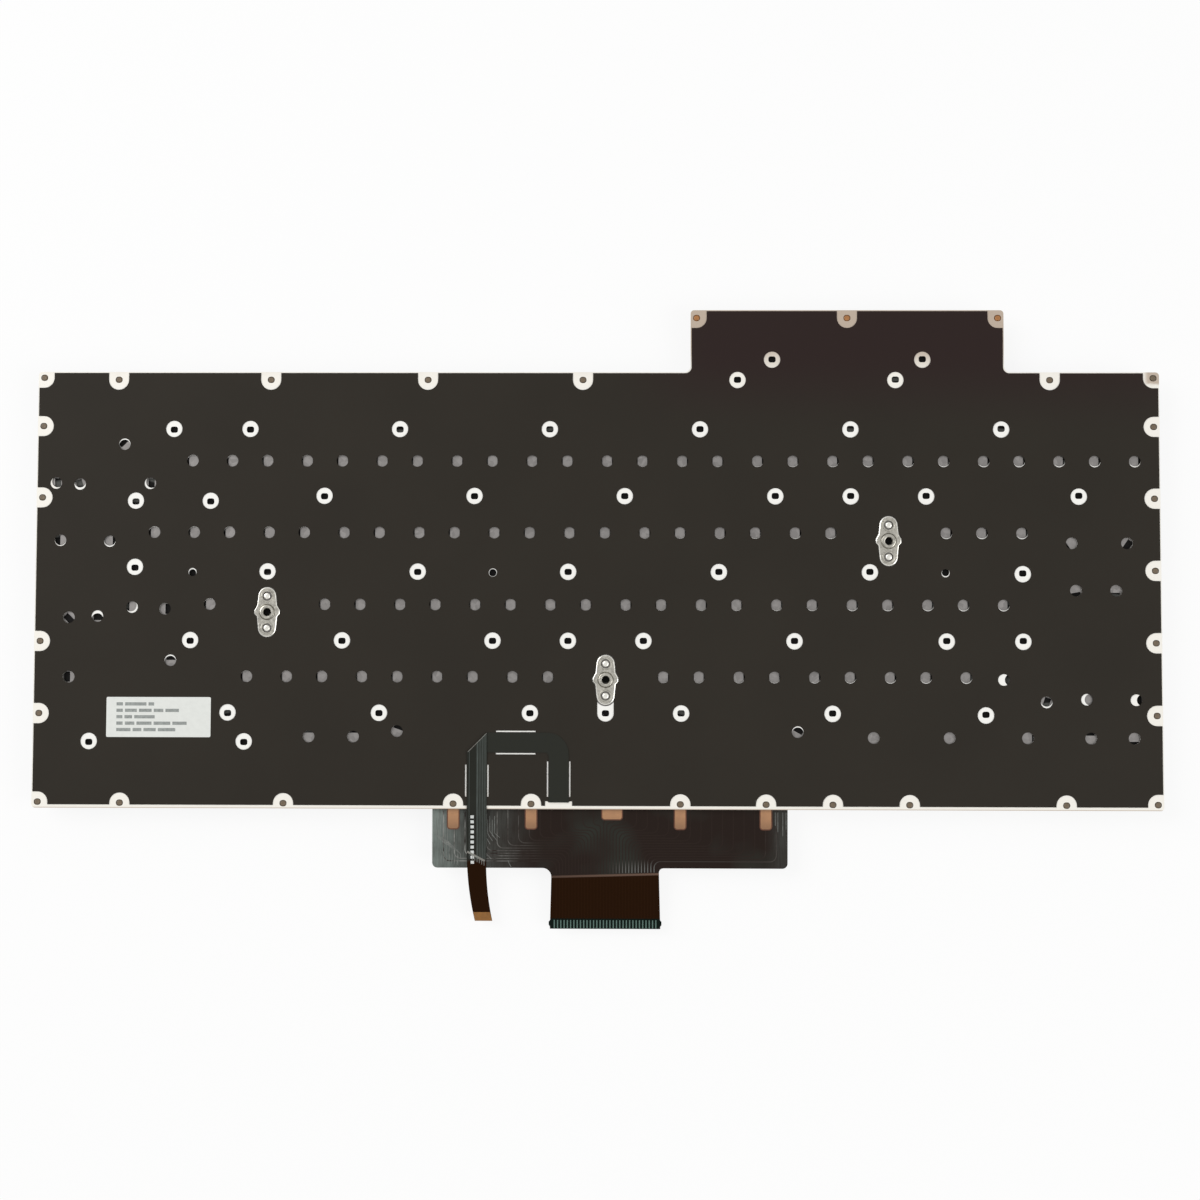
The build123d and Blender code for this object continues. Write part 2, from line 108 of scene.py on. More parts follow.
def colour(name, code, description):
    """A colour property whose default is written as an sRGB hex value."""
    return FloatVectorProperty(
        name=name, description=description, default=linear(code), size=4, subtype="COLOR", min=0, max=1
    )


def middle_x(node):
    """X of the middle of a CAD node, in millimetres."""
    low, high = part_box(node)
    return (low.x + high.x) / 2 / MM


class FilmSizes(bpy.types.PropertyGroup):
    """Sizes of the stacked films behind the keys."""

    back_edge: length("Back edge", 62.45, "Y of the sheet's back edge beside the raised part")
    bump_middle: length("Bump middle", 63.53, "X of the middle of the part that stands out at the back")
    bump_half: length("Bump half width", 39.7, "Half the width of the part that stands out at the back")
    outer_round: length("Outer corner", 0.9, "Radius of the sheet's outward corners")
    inner_round: length("Inner corner", 1.6, "Radius where the bump meets the back edge")
    ring_window: length("Ring window", 2.08, "Radius of the round windows that show the white film")
    pin_wide: length("Pin hole half width", 0.93, "Half the width of the oval stake holes")
    pin_tall: length("Pin hole half height", 0.79, "Half the height of the oval stake holes")
    pin_round: length("Pin hole corner", 0.55, "Corner radius of the stake holes")
    stake_wide: length("Stake half width", 0.7, "Half the width of the stake pins in the edge tabs")
    stake_tall: length("Stake half height", 0.62, "Half the height of those pins")
    stake_gap: length("Stake gap", 0.2, "Gap round the head of a stake pin")
    hook_window: length("Hook window", 1.48, "Radius of the windows that show the stamped hooks")
    window_slip: length("Window slip", 0.06, "How far the white film's windows sit off the black film's")
    film_turn: FloatProperty(
        name="Film turn", description="Turn of the white film's openings", default=0.0018, subtype="ANGLE"
    )
    vent: length("Vent", 1.05, "Radius of the three small vents in the black film")
    tab_half: length("Tab half width", 2.57, "Half the width of the notches that bare the edge tabs")
    entry_half: length("Entry half width", 3.4, "Half the width of the backlight flex's step")
    entry_depth: length("Entry depth", 1.7, "Depth of that step from the sheet's front edge")
    guide_wide: length("Guide hole half width", 1.3, "Half the width of the light guide's stake holes")
    guide_tall: length("Guide hole half height", 1.2, "Half the height of those holes")
    guide_hook: length("Guide hook hole", 1.85, "Radius of its holes behind the hook windows")
    plate_wide: length("Plate hole half width", 1.25, "Half the width of the plate's stake holes")
    plate_tall: length("Plate hole half height", 1.1, "Half the height of those holes")


class SteelSizes(bpy.types.PropertyGroup):
    """Sizes of the plate's hooks and the screw brackets."""

    hook_edge: length("Hook edge", 1.2, "From a window's middle to the slots beside a stamped hook")
    hook_half: length("Hook half width", 1.3, "Half the width of a stamped hook")
    hook_slot: length("Hook slot", 0.9, "Width of the slot beside a hook")
    odd_slot: length("Odd slot", 0.8, "Half the length of the slots behind the wide keys")
    hook_drop: length("Hook drop", 0.8, "How far a hook stands out of the plate's key side")
    plate_pull: FloatProperty(
        name="Plate pull", description="Share by which the hooks lie nearer the middle", default=0.0018
    )
    end_radius: length("Bracket end", 2.3, "Radius of a bracket's two ends")
    ear_reach: length("Bracket ear", 3.25, "Half the width of a bracket at its two side ears")
    rivet_offset: length("Rivet offset", 4.05, "From a bracket's middle to each rivet")
    clearance: length("Bracket clearance", 0.3, "Gap between a bracket and the white film around it")
    film_gap: length("Film gap", 0.12, "Gap between a bracket and the black film around it")
    pad_radius: length("Rivet seat", 1.6, "Radius of the dished seat around a rivet")
    rivet_radius: length("Rivet", 0.8, "Radius of a rivet's head")
    boss_radius: length("Boss", 1.8, "Radius of the threaded boss")
    boss_seat: length("Boss seat", 2.05, "Radius of the opening that the boss stands in")
    bore_radius: length("Bore", 1.0, "Radius of the screw thread's crests")
    thread_pitch: length("Thread pitch", 0.4, "Rise of the screw thread in a turn")
    thread_depth: length("Thread depth", 0.16, "Depth of the screw thread")
    edge_round: length("Edge round", 0.24, "Rounding of the stamped edges")


class FlexSizes(bpy.types.PropertyGroup):
    """Sizes of the two flexible circuits and the label."""

    wide_corner: length("Wide corner", 1.3, "Radius of the main flex's lower corners")
    tail_fillet: length("Tail fillet", 2.2, "Radius where the main flex narrows to its tail")
    wide_end: length("Wide end", -63.05, "Y where the main flex narrows to its tail")
    tail_middle: length("Tail middle", middle_x("main_flex_stiffener"), "X of the main tail's middle")
    tail_half: length("Tail half width", 13.5, "Half the width of the main flex's tail")
    sheet_edge: length("Sheet edge", -48.25, "Y of the front edge that both flexes come out of")
    film: length("Flex film", 0.15, "Thickness of a flex")
    trace: length("Trace width", 0.22, "Width of a printed trace")
    streak: length("Streak width", 0.11, "Width of a rubbed track")
    print_rise: length("Print rise", 0.012, "How far print stands on a film")
    window_wide: length("Window width", 2.65, "Width of an amber window in the main flex")
    window_deep: length("Window depth", 4.9, "How far an amber window runs from the sheet's edge")
    # The width of the painted shadow frame round each amber window.
    window_rim: length("Window rim", 0.28, "Width of the adhesive round a window")
    middle_wide: length("Middle window width", 4.9, "Width of the short window in the middle")
    middle_deep: length("Middle window depth", 2.5, "How far the short window runs from the sheet's edge")
    middle_offset: length("Middle window offset", 1.72, "From the tail's middle to the short window's")
    main_crease: length("Main crease", -64.95, "Y of the crease across the main flex's tail at X = 0")
    crease_slope: FloatProperty(name="Crease slope", description="Its rise along X", default=0.0286)
    tail_flare: length("Tail flare", 0.4, "How much wider the main flex's tail is at its end, on each side")
    strip_width: length("Strip width", 5.0, "Width of the backlight flex before it tapers")
    strip_corner: length("Strip corner", 5.4, "Outer radius of the backlight flex's corner")
    crease: length("Crease", -61.2, "Y of the crease where the backlight flex turns down")
    finger_count: IntProperty(name="Fingers", description="Contacts at the tail's end", default=32, min=2)
    finger_half: FloatProperty(
        name="Finger share", description="Half a contact's width as a share of the pitch", default=0.17
    )
    backing_film: length("Contact film", 0.2, "Thickness of the film that backs the contacts")
    mark_count: IntProperty(name="Marks", description="Plain dashes on the backlight flex", default=10, min=1)
    mark_pitch: length("Mark pitch", 1.27, "From one dash to the next")
    mark_wide: length("Mark width", 0.84, "Width of a dash")
    mark_tall: length("Mark height", 0.75, "Height of a dash")
    line_pitch: length("Label line pitch", 1.62, "From one greyed line on the label to the next")
    line_height: length("Label line height", 0.82, "Height of a greyed line on the label")
    line_margin: length("Label margin", 2.55, "From the label's left edge to its lines")
    line_top: length("Label top", 1.75, "From the label's top edge to the middle of its first line")
    line_gap: length("Label gap", 0.55, "Gap between the dashes of a line")


class KeySizes(bpy.types.PropertyGroup):
    """Sizes of the keycaps and what carries them."""

    wall: length("Cap wall", 0.8, "Thickness of a keycap's wall")
    roof: length("Cap roof", 0.9, "Thickness of a keycap's top")
    corner: length("Cap corner", 1.5, "Radius of a keycap's corners")
    edge: length("Cap edge", 0.45, "Rounding between a keycap's top and its sides")
    dish: length("Cap dish", 0.18, "Depth of the hollow in a keycap's top")
    draft: length("Cap draft", 0.42, "How much narrower a keycap is at its top, on each side")
    dome_tip: length("Dome tip", 1.75, "Radius of a rubber dome's tip")
    dome_base: length("Dome base", 2.75, "Radius of a rubber dome's base")
    lever_bar: length("Lever bar", 1.0, "Width of a scissor lever's bars")
    lever_thick: length("Lever thickness", 0.6, "Thickness of a scissor lever's bars")
    lever_end: length("Lever end", 2.1, "From a key's front and back edges to its levers")
    lever_side: length("Lever side", 1.7, "From a key's sides to its levers, at the least")
    lever_half: length("Lever half width", 6.1, "Half the width of the wider lever, at the most")
    pressed: FloatProperty(
        name="Pressed share", description="Height left under a pressed key", default=0.433, subtype="FACTOR"
    )


class Finishes(bpy.types.PropertyGroup):
    """Colours of the keyboard's materials."""

    backing: colour("Backing film", "#2a2620", "Black film over the whole back")
    backing_warm: colour("Warm backing film", "#281d1b", "The black film towards the bump")
    reflector: colour("Reflector film", "#fcfaf5", "White film that shows in the rings and tabs")
    cream: colour("Reflector edge", "#f9f5ec", "The white film where its edge has yellowed")
    aged: colour("Aged reflector", "#b9a795", "The white film where it has browned at the bump")
    plate: colour("Plate steel", "#84817f", "Zinc-coated steel plate")
    bracket: colour("Bracket steel", "#b1aea5", "Nickel-plated brackets")
    # Painted highlight: a lit copy of the bracket steel for the rounded edges and the rivet heads.
    highlight_steel: colour("Highlight steel", "#e6e4dc", "Rivet heads and the brackets' rubbed edges")
    guide: colour("Light guide", "#e4ece8", "Clear sheet that spreads the key light")
    # The membrane's black is painted shade for the holes that show it.
    membrane: colour("Membrane", "#141312", "Printed switch film")
    flex: colour("Flex film", "#2c231f", "Dark film of both flexes")
    # This grey is mostly painted sheen on the flexes, partly wear.
    slate: colour("Flex slate", "#7d8681", "Where the flex film looks grey")
    strip: colour("Backlight strip", "#33342f", "Film of the backlight flex")
    tail: colour("Flex tail", "#210f02", "Brown of the flexes' free ends")
    # This paler line is a painted highlight where a flex is creased.
    fold: colour("Flex fold", "#6a5448", "Paler line where a flex is creased")
    # The pale of the traces is partly wear and partly painted sheen.
    trace: colour("Trace", "#9d9e99", "Printed conductor where the varnish over it is worn")
    amber: colour("Amber film", "#a87c58", "Bare polyimide in the flex's windows")
    # This brown is a painted shadow round the amber windows.
    brown: colour("Window edge", "#5d3219", "Adhesive round the amber windows")
    bare_end: colour("Bare end", "#8a5c22", "Bare polyimide at the backlight flex's end")
    contact: colour("Contact", "#617a71", "Carbon-coated contacts at the flex's end")
    stiffener: colour("Stiffener", "#07110d", "Film that backs the contacts")
    paper: colour("Label paper", "#e6e8e3", "Pale paper of the label")
    ink: colour("Label ink", "#8d918e", "Grey of the label's lines")
    mark: colour("Flex mark", "#dfe2df", "Pale print on the backlight flex")
    stake: colour("Stake pin", "#6b5c49", "Plastic pins that hold the films at the edges")
    stake_brown: colour("Browned stake pin", "#a8713f", "The pins on the bump, which have browned")
    cap: colour("Keycap", "#1b1b1c", "Black moulded keycaps")
    dome: colour("Dome", "#d9d6cc", "Milky silicone rubber domes")
    lever: colour("Lever", "#d4d2ca", "Scissor levers of white acetal")
    floor: colour("Floor", "#f4f4f3", "Pale floor")


class StageSizes(bpy.types.PropertyGroup):
    """The camera of the photograph and the studio light."""

    distance: length("Camera distance", 505.72, "From the camera to the back film along its view")
    shift_x: length("Camera offset X", -0.917, "Where the sheet's middle lies in the view, sideways")
    shift_y: length("Camera offset Y", 7.909, "Where the sheet's middle lies in the view, up and down")
    aim_y: length("Aim Y", 12.35, "Y of the point on the back film that the view is measured from")
    pitch: FloatProperty(name="Pitch", description="Turn about X", default=-0.053917, subtype="ANGLE")
    yaw: FloatProperty(name="Yaw", description="Turn about Y", default=-0.012928, subtype="ANGLE")
    roll: FloatProperty(name="Roll", description="Turn about the view", default=-0.001875, subtype="ANGLE")
    lens: FloatProperty(name="Lens", description="Focal length at 36 mm", default=60.0, unit="CAMERA")
    key_power: FloatProperty(name="Key light", description="Large soft light", default=9.0, unit="POWER")
    fill_power: FloatProperty(name="Fill light", description="Second soft light", default=6.8, unit="POWER")
    sky: FloatProperty(name="Sky", description="Light from all round", default=0.38, subtype="FACTOR")


# Outlines in the plane of the films

def circle(middle, wide, tall, count):
    """A round or oval outline."""
    turns = [2 * math.pi * k / count for k in range(count)]
    return [middle + Vector((wide * math.cos(a), tall * math.sin(a))) for a in turns]


def box_outline(low, high):
    """A rectangle between two corners."""
    return [Vector(low), Vector((high[0], low[1])), Vector(high), Vector((low[0], high[1]))]


def turned_box(middle, along, half_along, half_across):
    """A rectangle that lies along a direction."""
    across = Vector((-along.y, along.x)) * half_across
    near, far = middle - along * half_along, middle + along * half_along
    return [near - across, far - across, far + across, near + across]


def corner_arc(before, corner, after, radius, count):
    """The arc that rounds one corner of an outline, outward or inward."""
    if radius <= 0:
        return [corner.copy()]
    back = (before - corner).normalized()
    ahead = (after - corner).normalized()
    half = back.angle(ahead) / 2
    middle = corner + (back + ahead).normalized() * radius / math.sin(half)
    spoke = corner + back * radius / math.tan(half) - middle
    turn = math.copysign(math.pi - 2 * half, ahead.x * back.y - ahead.y * back.x)
    return [middle + Matrix.Rotation(turn * k / count, 2) @ spoke for k in range(count + 1)]


def rounded(corners, radii, count=6):
    """A closed outline with its corners rounded."""
    path = []
    for i, corner in enumerate(corners):
        after = corners[(i + 1) % len(corners)]
        path += corner_arc(corners[i - 1], corner, after, radii[i], count)
    return path


def notched(corners, notches, inner_round, count=12):
    """A sheet's outline that steps inwards at each notch (middle, half width, round)."""
    path = []
    for i, corner in enumerate(corners):
        after = corners[(i + 1) % len(corners)]
        along = (after - corner).normalized()
        inward = Vector((-along.y, along.x))
        run_length = (after - corner).length
        found = []
        for middle, half, is_round in notches:
            run = (middle - corner).dot(along)
            depth = (middle - corner).dot(inward)
            if half < run < run_length and 0 < depth < 2 * half:
                found.append((run, depth, half, is_round, middle))
        for run, depth, half, is_round, middle in sorted(found, key=lambda item: item[0]):
            at_corner = run_length - run < half
            sweep = math.pi / 2 if at_corner else math.pi
            path.append(corner + along * (run - half))
            if is_round:
                spoke = -along * half
                path += [middle + Matrix.Rotation(-sweep * k / count, 2) @ spoke for k in range(count + 1)]
            else:
                lip = 0.3 * MM
                steps = [(-half, lip), (2 * lip - half, lip), (3 * lip - half, 0)]
                steps += [(-x, rise) for x, rise in reversed(steps)]
                path += [middle + along * x + inward * rise for x, rise in steps]
            if at_corner:
                path.append(middle + inward * half + along * (run_length - run))
            else:
                path.append(corner + along * (run + half))
        ends_in_tab = any(run_length - item[0] < item[2] for item in found)
        if not ends_in_tab:
            beyond = corners[(i + 2) % len(corners)]
            path += corner_arc(corner, after, beyond, inner_round, count)
    return path


def sheet_corners(films, node):
    """The corners of a sheet, anticlockwise from the front left."""
    low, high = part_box(node)
    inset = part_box("reflector_film")[1].x - high.x
    back = films.back_edge - inset
    bump_left = films.bump_middle - films.bump_half + inset
    bump_right = films.bump_middle + films.bump_half - inset
    places = [(low.x, low.y), (high.x, low.y), (high.x, back), (bump_right, back)]
    places += [(bump_right, high.y), (bump_left, high.y), (bump_left, back), (low.x, back)]
    return [Vector(place) for place in places]


def sheet_outline(films, node):
    """A sheet's outline with rounded corners."""
    outer, inner = films.outer_round, films.inner_round
    return rounded(sheet_corners(films, node), [outer, outer, outer, inner, outer, outer, inner, outer])


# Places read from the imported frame

def welded(node):
    """A CAD node's mesh with its shared corners joined."""
    shape = bmesh.new()
    shape.from_mesh(frame["nodes"][node].data)
    bmesh.ops.remove_doubles(shape, verts=shape.verts, dist=1e-6)
    return shape


def openings(node):
    """Middle and size of each opening in the back face of a flat CAD node."""
    shape = welded(node)
    top = max(vert.co.z for vert in shape.verts)
    faces = {f for f in shape.faces if all(abs(v.co.z - top) < 2e-6 for v in f.verts)}
    following = {}
    for face in faces:
        for corner in face.loops:
            if sum(1 for other in corner.edge.link_faces if other in faces) == 1:
                following[corner.vert] = corner.link_loop_next.vert
    found = []
    while following:
        start = next(iter(following))
        run = []
        while start in following:
            run.append(start.co.xy.copy())
            start = following.pop(start)
        low = Vector((min(p.x for p in run), min(p.y for p in run)))
        high = Vector((max(p.x for p in run), max(p.y for p in run)))
        found.append(((low + high) / 2, high - low))
    shape.free()
    return sorted(found, key=lambda item: (round(item[0].y, 6), round(item[0].x, 6)))


def solids(node):
    """Lowest and highest corner of each separate solid in a CAD node."""
    shape = welded(node)
    unseen = set(shape.verts)
    boxes = []
    while unseen:
        stack = [unseen.pop()]
        group = []
        while stack:
            vert = stack.pop()
            group.append(vert.co.copy())
            for edge in vert.link_edges:
                other = edge.other_vert(vert)
                if other in unseen:
                    unseen.remove(other)
                    stack.append(other)
        low = Vector([min(p[k] for p in group) for k in range(3)])
        high = Vector([max(p[k] for p in group) for k in range(3)])
        boxes.append((low, high))
    shape.free()
    return sorted(boxes, key=lambda item: (round(item[0].y, 6), round(item[0].x, 6)))


def middle_of(box):
    """The middle of a box."""
    return (box[0] + box[1]) / 2


def openings_between(node, smallest, largest):
    """Middles of the openings whose longer side lies between two lengths."""
    return [middle for middle, size in openings(node) if smallest <= max(size) < largest]


def pin_places():
    """Middles of the stake holes in the white film."""
    return openings_between("reflector_film", SLIT, HOOK_MOST)


def ring_places():
    """Middles of the stake holes that a window in the black film shows."""
    windows = [item for item in openings("backing_film") if HOOK_MOST < max(item[1]) < RING_MOST]
    rings = []
    for hole in pin_places():
        for middle, size in windows:
            if abs(hole.x - middle.x) < size.x / 2 and abs(hole.y - middle.y) < size.y / 2:
                rings.append(hole)
    return rings


def tab_places():
    """Middles of the stake holes in the edge tabs and corners."""
    rings = ring_places()
    return [hole for hole in pin_places() if hole not in rings]


def hook_places():
    """Each hook window's middle, the way it looks from its key, and whether it is one of a key's pair."""
    domes = [middle_of(box).xy for box in solids("rubber_domes")]
    places = []
    for middle in openings_between("backing_film", VENT_MOST, HOOK_MOST):
        away = middle - min(domes, key=lambda dome: (dome - middle).length)
        paired = abs(away.y) < HOOK_SLACK and abs(abs(away.x) - HOOK_REACH) < HOOK_SLACK
        places.append((middle, away.normalized(), paired))
    return places


def vent_places():
    """Middles of the three small vents."""
    return openings_between("backing_film", SLIT, VENT_MOST)


def slit_outlines():
    """The thin slits beside the backlight flex."""
    found = [item for item in openings("backing_film") if min(item[1]) < SLIT]
    return [box_outline(middle - size / 2, middle + size / 2) for middle, size in found]


def bracket_places():
    """Middles of the screw brackets."""
    return [middle_of(box).xy for box in solids("nut_brackets")]


def ring_below(rings, middle):
    """The ring that shares the window of the bracket above it, if there is one."""
    for ring in rings:
        if abs(ring.x - middle.x) < HOOK_SLACK * 2 and 0 < middle.y - ring.y < RING_BELOW:
            return ring
    return None


def moving_keys():
    """Each key that travels, with its body, its joint and its box."""
    joints = {joint["child"]: joint["name"] for joint in frame["joints"]}
    return [(body, joints[body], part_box(body)) for body in sorted(joints)]


# Meshes

def at_height(outline, z):
    """A flat outline lifted to a height."""
    return [Vector((place.x, place.y, z)) for place in outline]


def patch(outline, z):
    """Points and the one face of a flat patch."""
    return at_height(outline, z), [list(range(len(outline)))]


def joined(name, shapes):
    """One mesh from several lists of points and faces."""
    points, faces = [], []
    for some_points, some_faces in shapes:
        faces += [[index + len(points) for index in face] for face in some_faces]
        points += some_points
    mesh = bpy.data.meshes.new(name)
    mesh.from_pydata(points, [], faces)
    shape = bmesh.new()
    shape.from_mesh(mesh)
    bmesh.ops.recalc_face_normals(shape, faces=shape.faces)
    shape.to_mesh(mesh)
    shape.free()
    return mesh


def loft(rings, closed=False):
    """Points and faces of a skin over rings with equal counts: closed joins the last ring to the first."""
    count = len(rings[0])
    points = [Vector(point) for ring in rings for point in ring]
    faces = []
    for level in range(len(rings) if closed else len(rings) - 1):
        low, high = level * count, (level + 1) % len(rings) * count
        for k in range(count):
            after = (k + 1) % count
            faces.append([low + k, low + after, high + after, high + k])
    if not closed:
        faces.append(list(range(count))[::-1])
        faces.append([len(points) - count + k for k in range(count)])
    return points, faces


def turned(middle, profile, count, closed=False):
    """Points and faces of a turned shape from a profile of (radius, height)."""
    return loft([at_height(circle(middle, radius, radius, count), z) for radius, z in profile], closed)


def ribbon(path, width, rise):
    """Points and faces of a flat printed line along a path."""
    points = []
    for i, place in enumerate(path):
        along = (path[min(i + 1, len(path) - 1)] - path[max(i - 1, 0)]).normalized()
        side = Vector((-along.y, along.x)) * width / 2
        points += [(place + side).to_3d(), (place - side).to_3d()]
    for point in points:
        point.z = rise
    faces = [[2 * i, 2 * i + 1, 2 * i + 3, 2 * i + 2] for i in range(len(path) - 1)]
    return points, faces


def film_mesh(name, outlines, low, high):
    """A flat sheet between two heights: the first outline is its edge and the others are openings."""
    points, loops = [], []
    for outline in outlines:
        turn = sum(a.cross(b) for a, b in zip(outline, outline[1:] + outline[:1]))
        loops.append(range(len(points), len(points) + len(outline)))
        points += [place / MM for place in (outline if turn > 0 else reversed(outline))]
    places, _, faces, _, _, owners = delaunay_2d_cdt(points, [], loops, 1, 1e-6)
    faces = [face for face, owner in zip(faces, owners) if owner == [0]]
    mesh = bpy.data.meshes.new(name)
    mesh.from_pydata([(place.x * MM, place.y * MM, low) for place in places], [], faces)
    shape = bmesh.new()
    shape.from_mesh(mesh)
    grown = bmesh.ops.extrude_face_region(shape, geom=shape.faces[:], use_keep_orig=True)
    for item in grown["geom"]:
        if isinstance(item, bmesh.types.BMVert):
            item.co.z = high
    bmesh.ops.recalc_face_normals(shape, faces=shape.faces)
    shape.to_mesh(mesh)
    shape.free()
    return mesh


def height_along(run, y, ease):
    """Height of a drooping film at y, from a run of (y, height) with its corners eased."""
    total = 0
    for step in (-2, -1, 0, 1, 2):
        at = min(max(y + step * ease / 2, run[-1][0]), run[0][0])
        for (y0, z0), (y1, z1) in zip(run, run[1:]):
            if y1 <= at <= y0:
                total += z0 + (z1 - z0) * (y0 - at) / (y0 - y1)
                break
    return total / 5


def draped(mesh, run, ease, drift=0.0, drift_from=0.0):
    """Bend a flat film mesh along Y so that it follows a run, with an optional drift in X."""
    shape = bmesh.new()
    shape.from_mesh(mesh)
    lowest = min(vert.co.y for vert in shape.verts)
    highest = max(vert.co.y for vert in shape.verts)
    spacing = 0.7 * MM
    cuts = int((highest - lowest) / spacing)
    for k in range(1, cuts):
        place = Vector((0, lowest + (highest - lowest) * k / cuts, 0))
        parts = shape.verts[:] + shape.edges[:] + shape.faces[:]
        bmesh.ops.bisect_plane(shape, geom=parts, plane_co=place, plane_no=(0, 1, 0), dist=1e-7)
    for vert in shape.verts:
        vert.co.z += height_along(run, vert.co.y, ease)
        if drift and vert.co.y < drift_from:
            share = (drift_from - vert.co.y) / (drift_from - run[-1][0])
            vert.co.x += drift * share ** 2.2
    shape.to_mesh(mesh)
    shape.free()
    return mesh


def piece(name, mesh, finish, slot, stands_for=(), body=CHASSIS, smooth=None):
    """An object that rides on a body, stands for CAD nodes and carries a finish."""
    thing = bpy.data.objects.new(name, mesh)
    bpy.context.scene.collection.objects.link(thing)
    mesh.materials.clear()
    mesh.materials.append(finish)
    if smooth is not None:
        mesh.shade_smooth()
        mesh.set_sharp_from_angle(angle=math.radians(smooth))
    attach(thing, body)
    if stands_for:
        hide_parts(*stands_for)
    return thing


def sheet_piece(node, outlines, finish, slot):
    """The sheet that stands for a flat CAD node, between the same two heights."""
    low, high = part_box(node)
    name = node + "_sheet"
    return piece(name, film_mesh(name, outlines, low.z, high.z), finish, slot, [node])


def joined_piece(name, shapes, finish, slot, **settings):
    """One piece from several lists of points and faces."""
    return piece(name, joined(name, shapes), finish, slot, **settings)


def printed(name, shapes, bend, finish, slot):
    """Flat print that follows the bend of the film that it lies on."""
    return piece(name, draped(joined(name, shapes), *bend), finish, slot)


# Materials

def output_of(source):
    """The first output in use of a node, and any other value as it is."""
    if isinstance(source, bpy.types.Node):
        return next(output for output in source.outputs if output.enabled)
    return source


def add_node(tree, kind, inputs=(), **settings):
    """Add a node with its settings, values and links, where a node stands for its output."""
    new = tree.nodes.new("ShaderNode" + kind)
    if kind == "Mix":
        new.data_type = "RGBA"
    for name, value in settings.items():
        setattr(new, name, value)
    for socket, value in dict(inputs).items():
        value = output_of(value)
        if isinstance(value, bpy.types.NodeSocket):
            tree.links.new(value, new.inputs[socket])
        else:
            new.inputs[socket].default_value = value
    return new


def new_material(name, **sockets):
    """A node material, its tree, its shader and the object coordinates in metres."""
    finish = bpy.data.materials.new(name)
    finish.use_nodes = True
    tree = finish.node_tree
    shader = tree.nodes["Principled BSDF"]
    for socket, value in sockets.items():
        shader.inputs[socket.replace("_", " ")].default_value = value
    place = add_node(tree, "TexCoord").outputs["Object"]
    return finish, tree, shader, place


def dress(tree, shader, tone=None, rough=None, bump=None):
    """Link a colour, a roughness and a relief to a shader."""
    for source, socket in ((tone, "Base Color"), (rough, "Roughness"), (bump, "Normal")):
        if source is not None:
            tree.links.new(output_of(source), shader.inputs[socket])


def per(millimetres):
    """A texture scale for features of that size."""
    return 1 / (millimetres * MM)


def shade(value, factor):
    """A colour made darker or lighter."""
    return [min(1.0, channel * factor) for channel in value[:3]] + [1.0]


def between(tree, value, start, end, top=1.0):
    """A smooth share that goes from 0 at one place in millimetres to its top value at another."""
    return add_node(
        tree, "MapRange", {"Value": value, "From Min": start * MM, "From Max": end * MM, "To Max": top},
        interpolation_type="SMOOTHSTEP",
    ).outputs[0]


def black_film(colours):
    # Black polyester film, cast matt: an even dark sheet with a soft, slightly clouded sheen.
    finish, tree, shader, place = new_material(
        "black_polyester_film_matt", IOR=1.57, Specular_IOR_Level=0.1
    )
    cloud = add_node(tree, "TexNoise", {"Vector": place, "Scale": per(26), "Detail": 4})
    tone = add_node(
        tree, "Mix", {0: cloud, 6: shade(colours.backing, 0.86), 7: shade(colours.backing, 1.16)}
    )
    x, y, _ = add_node(tree, "SeparateXYZ", {"Vector": place}).outputs
    right = between(tree, x, 0, 30)
    back = between(tree, y, 46, 68)
    warmth = add_node(tree, "Math", {0: right, 1: back}, operation="MULTIPLY")
    warmed = add_node(tree, "Mix", {0: warmth, 6: tone, 7: list(colours.backing_warm)})
    # The film's real grain is about 0.05 mm, so it is drawn at 0.5 mm to show.
    grain = add_node(tree, "TexNoise", {"Vector": place, "Scale": per(0.5), "Detail": 3, "Roughness": 0.6})
    rough = add_node(tree, "MapRange", {"Value": grain, "To Min": 0.48, "To Max": 0.62})
    height = add_node(tree, "Math", {0: grain, 1: 0.12, 2: cloud}, operation="MULTIPLY_ADD")
    bump = add_node(tree, "Bump", {"Height": height, "Strength": 0.25, "Distance": 0.25 * MM})
    dress(tree, shader, warmed, rough, bump)
    return finish


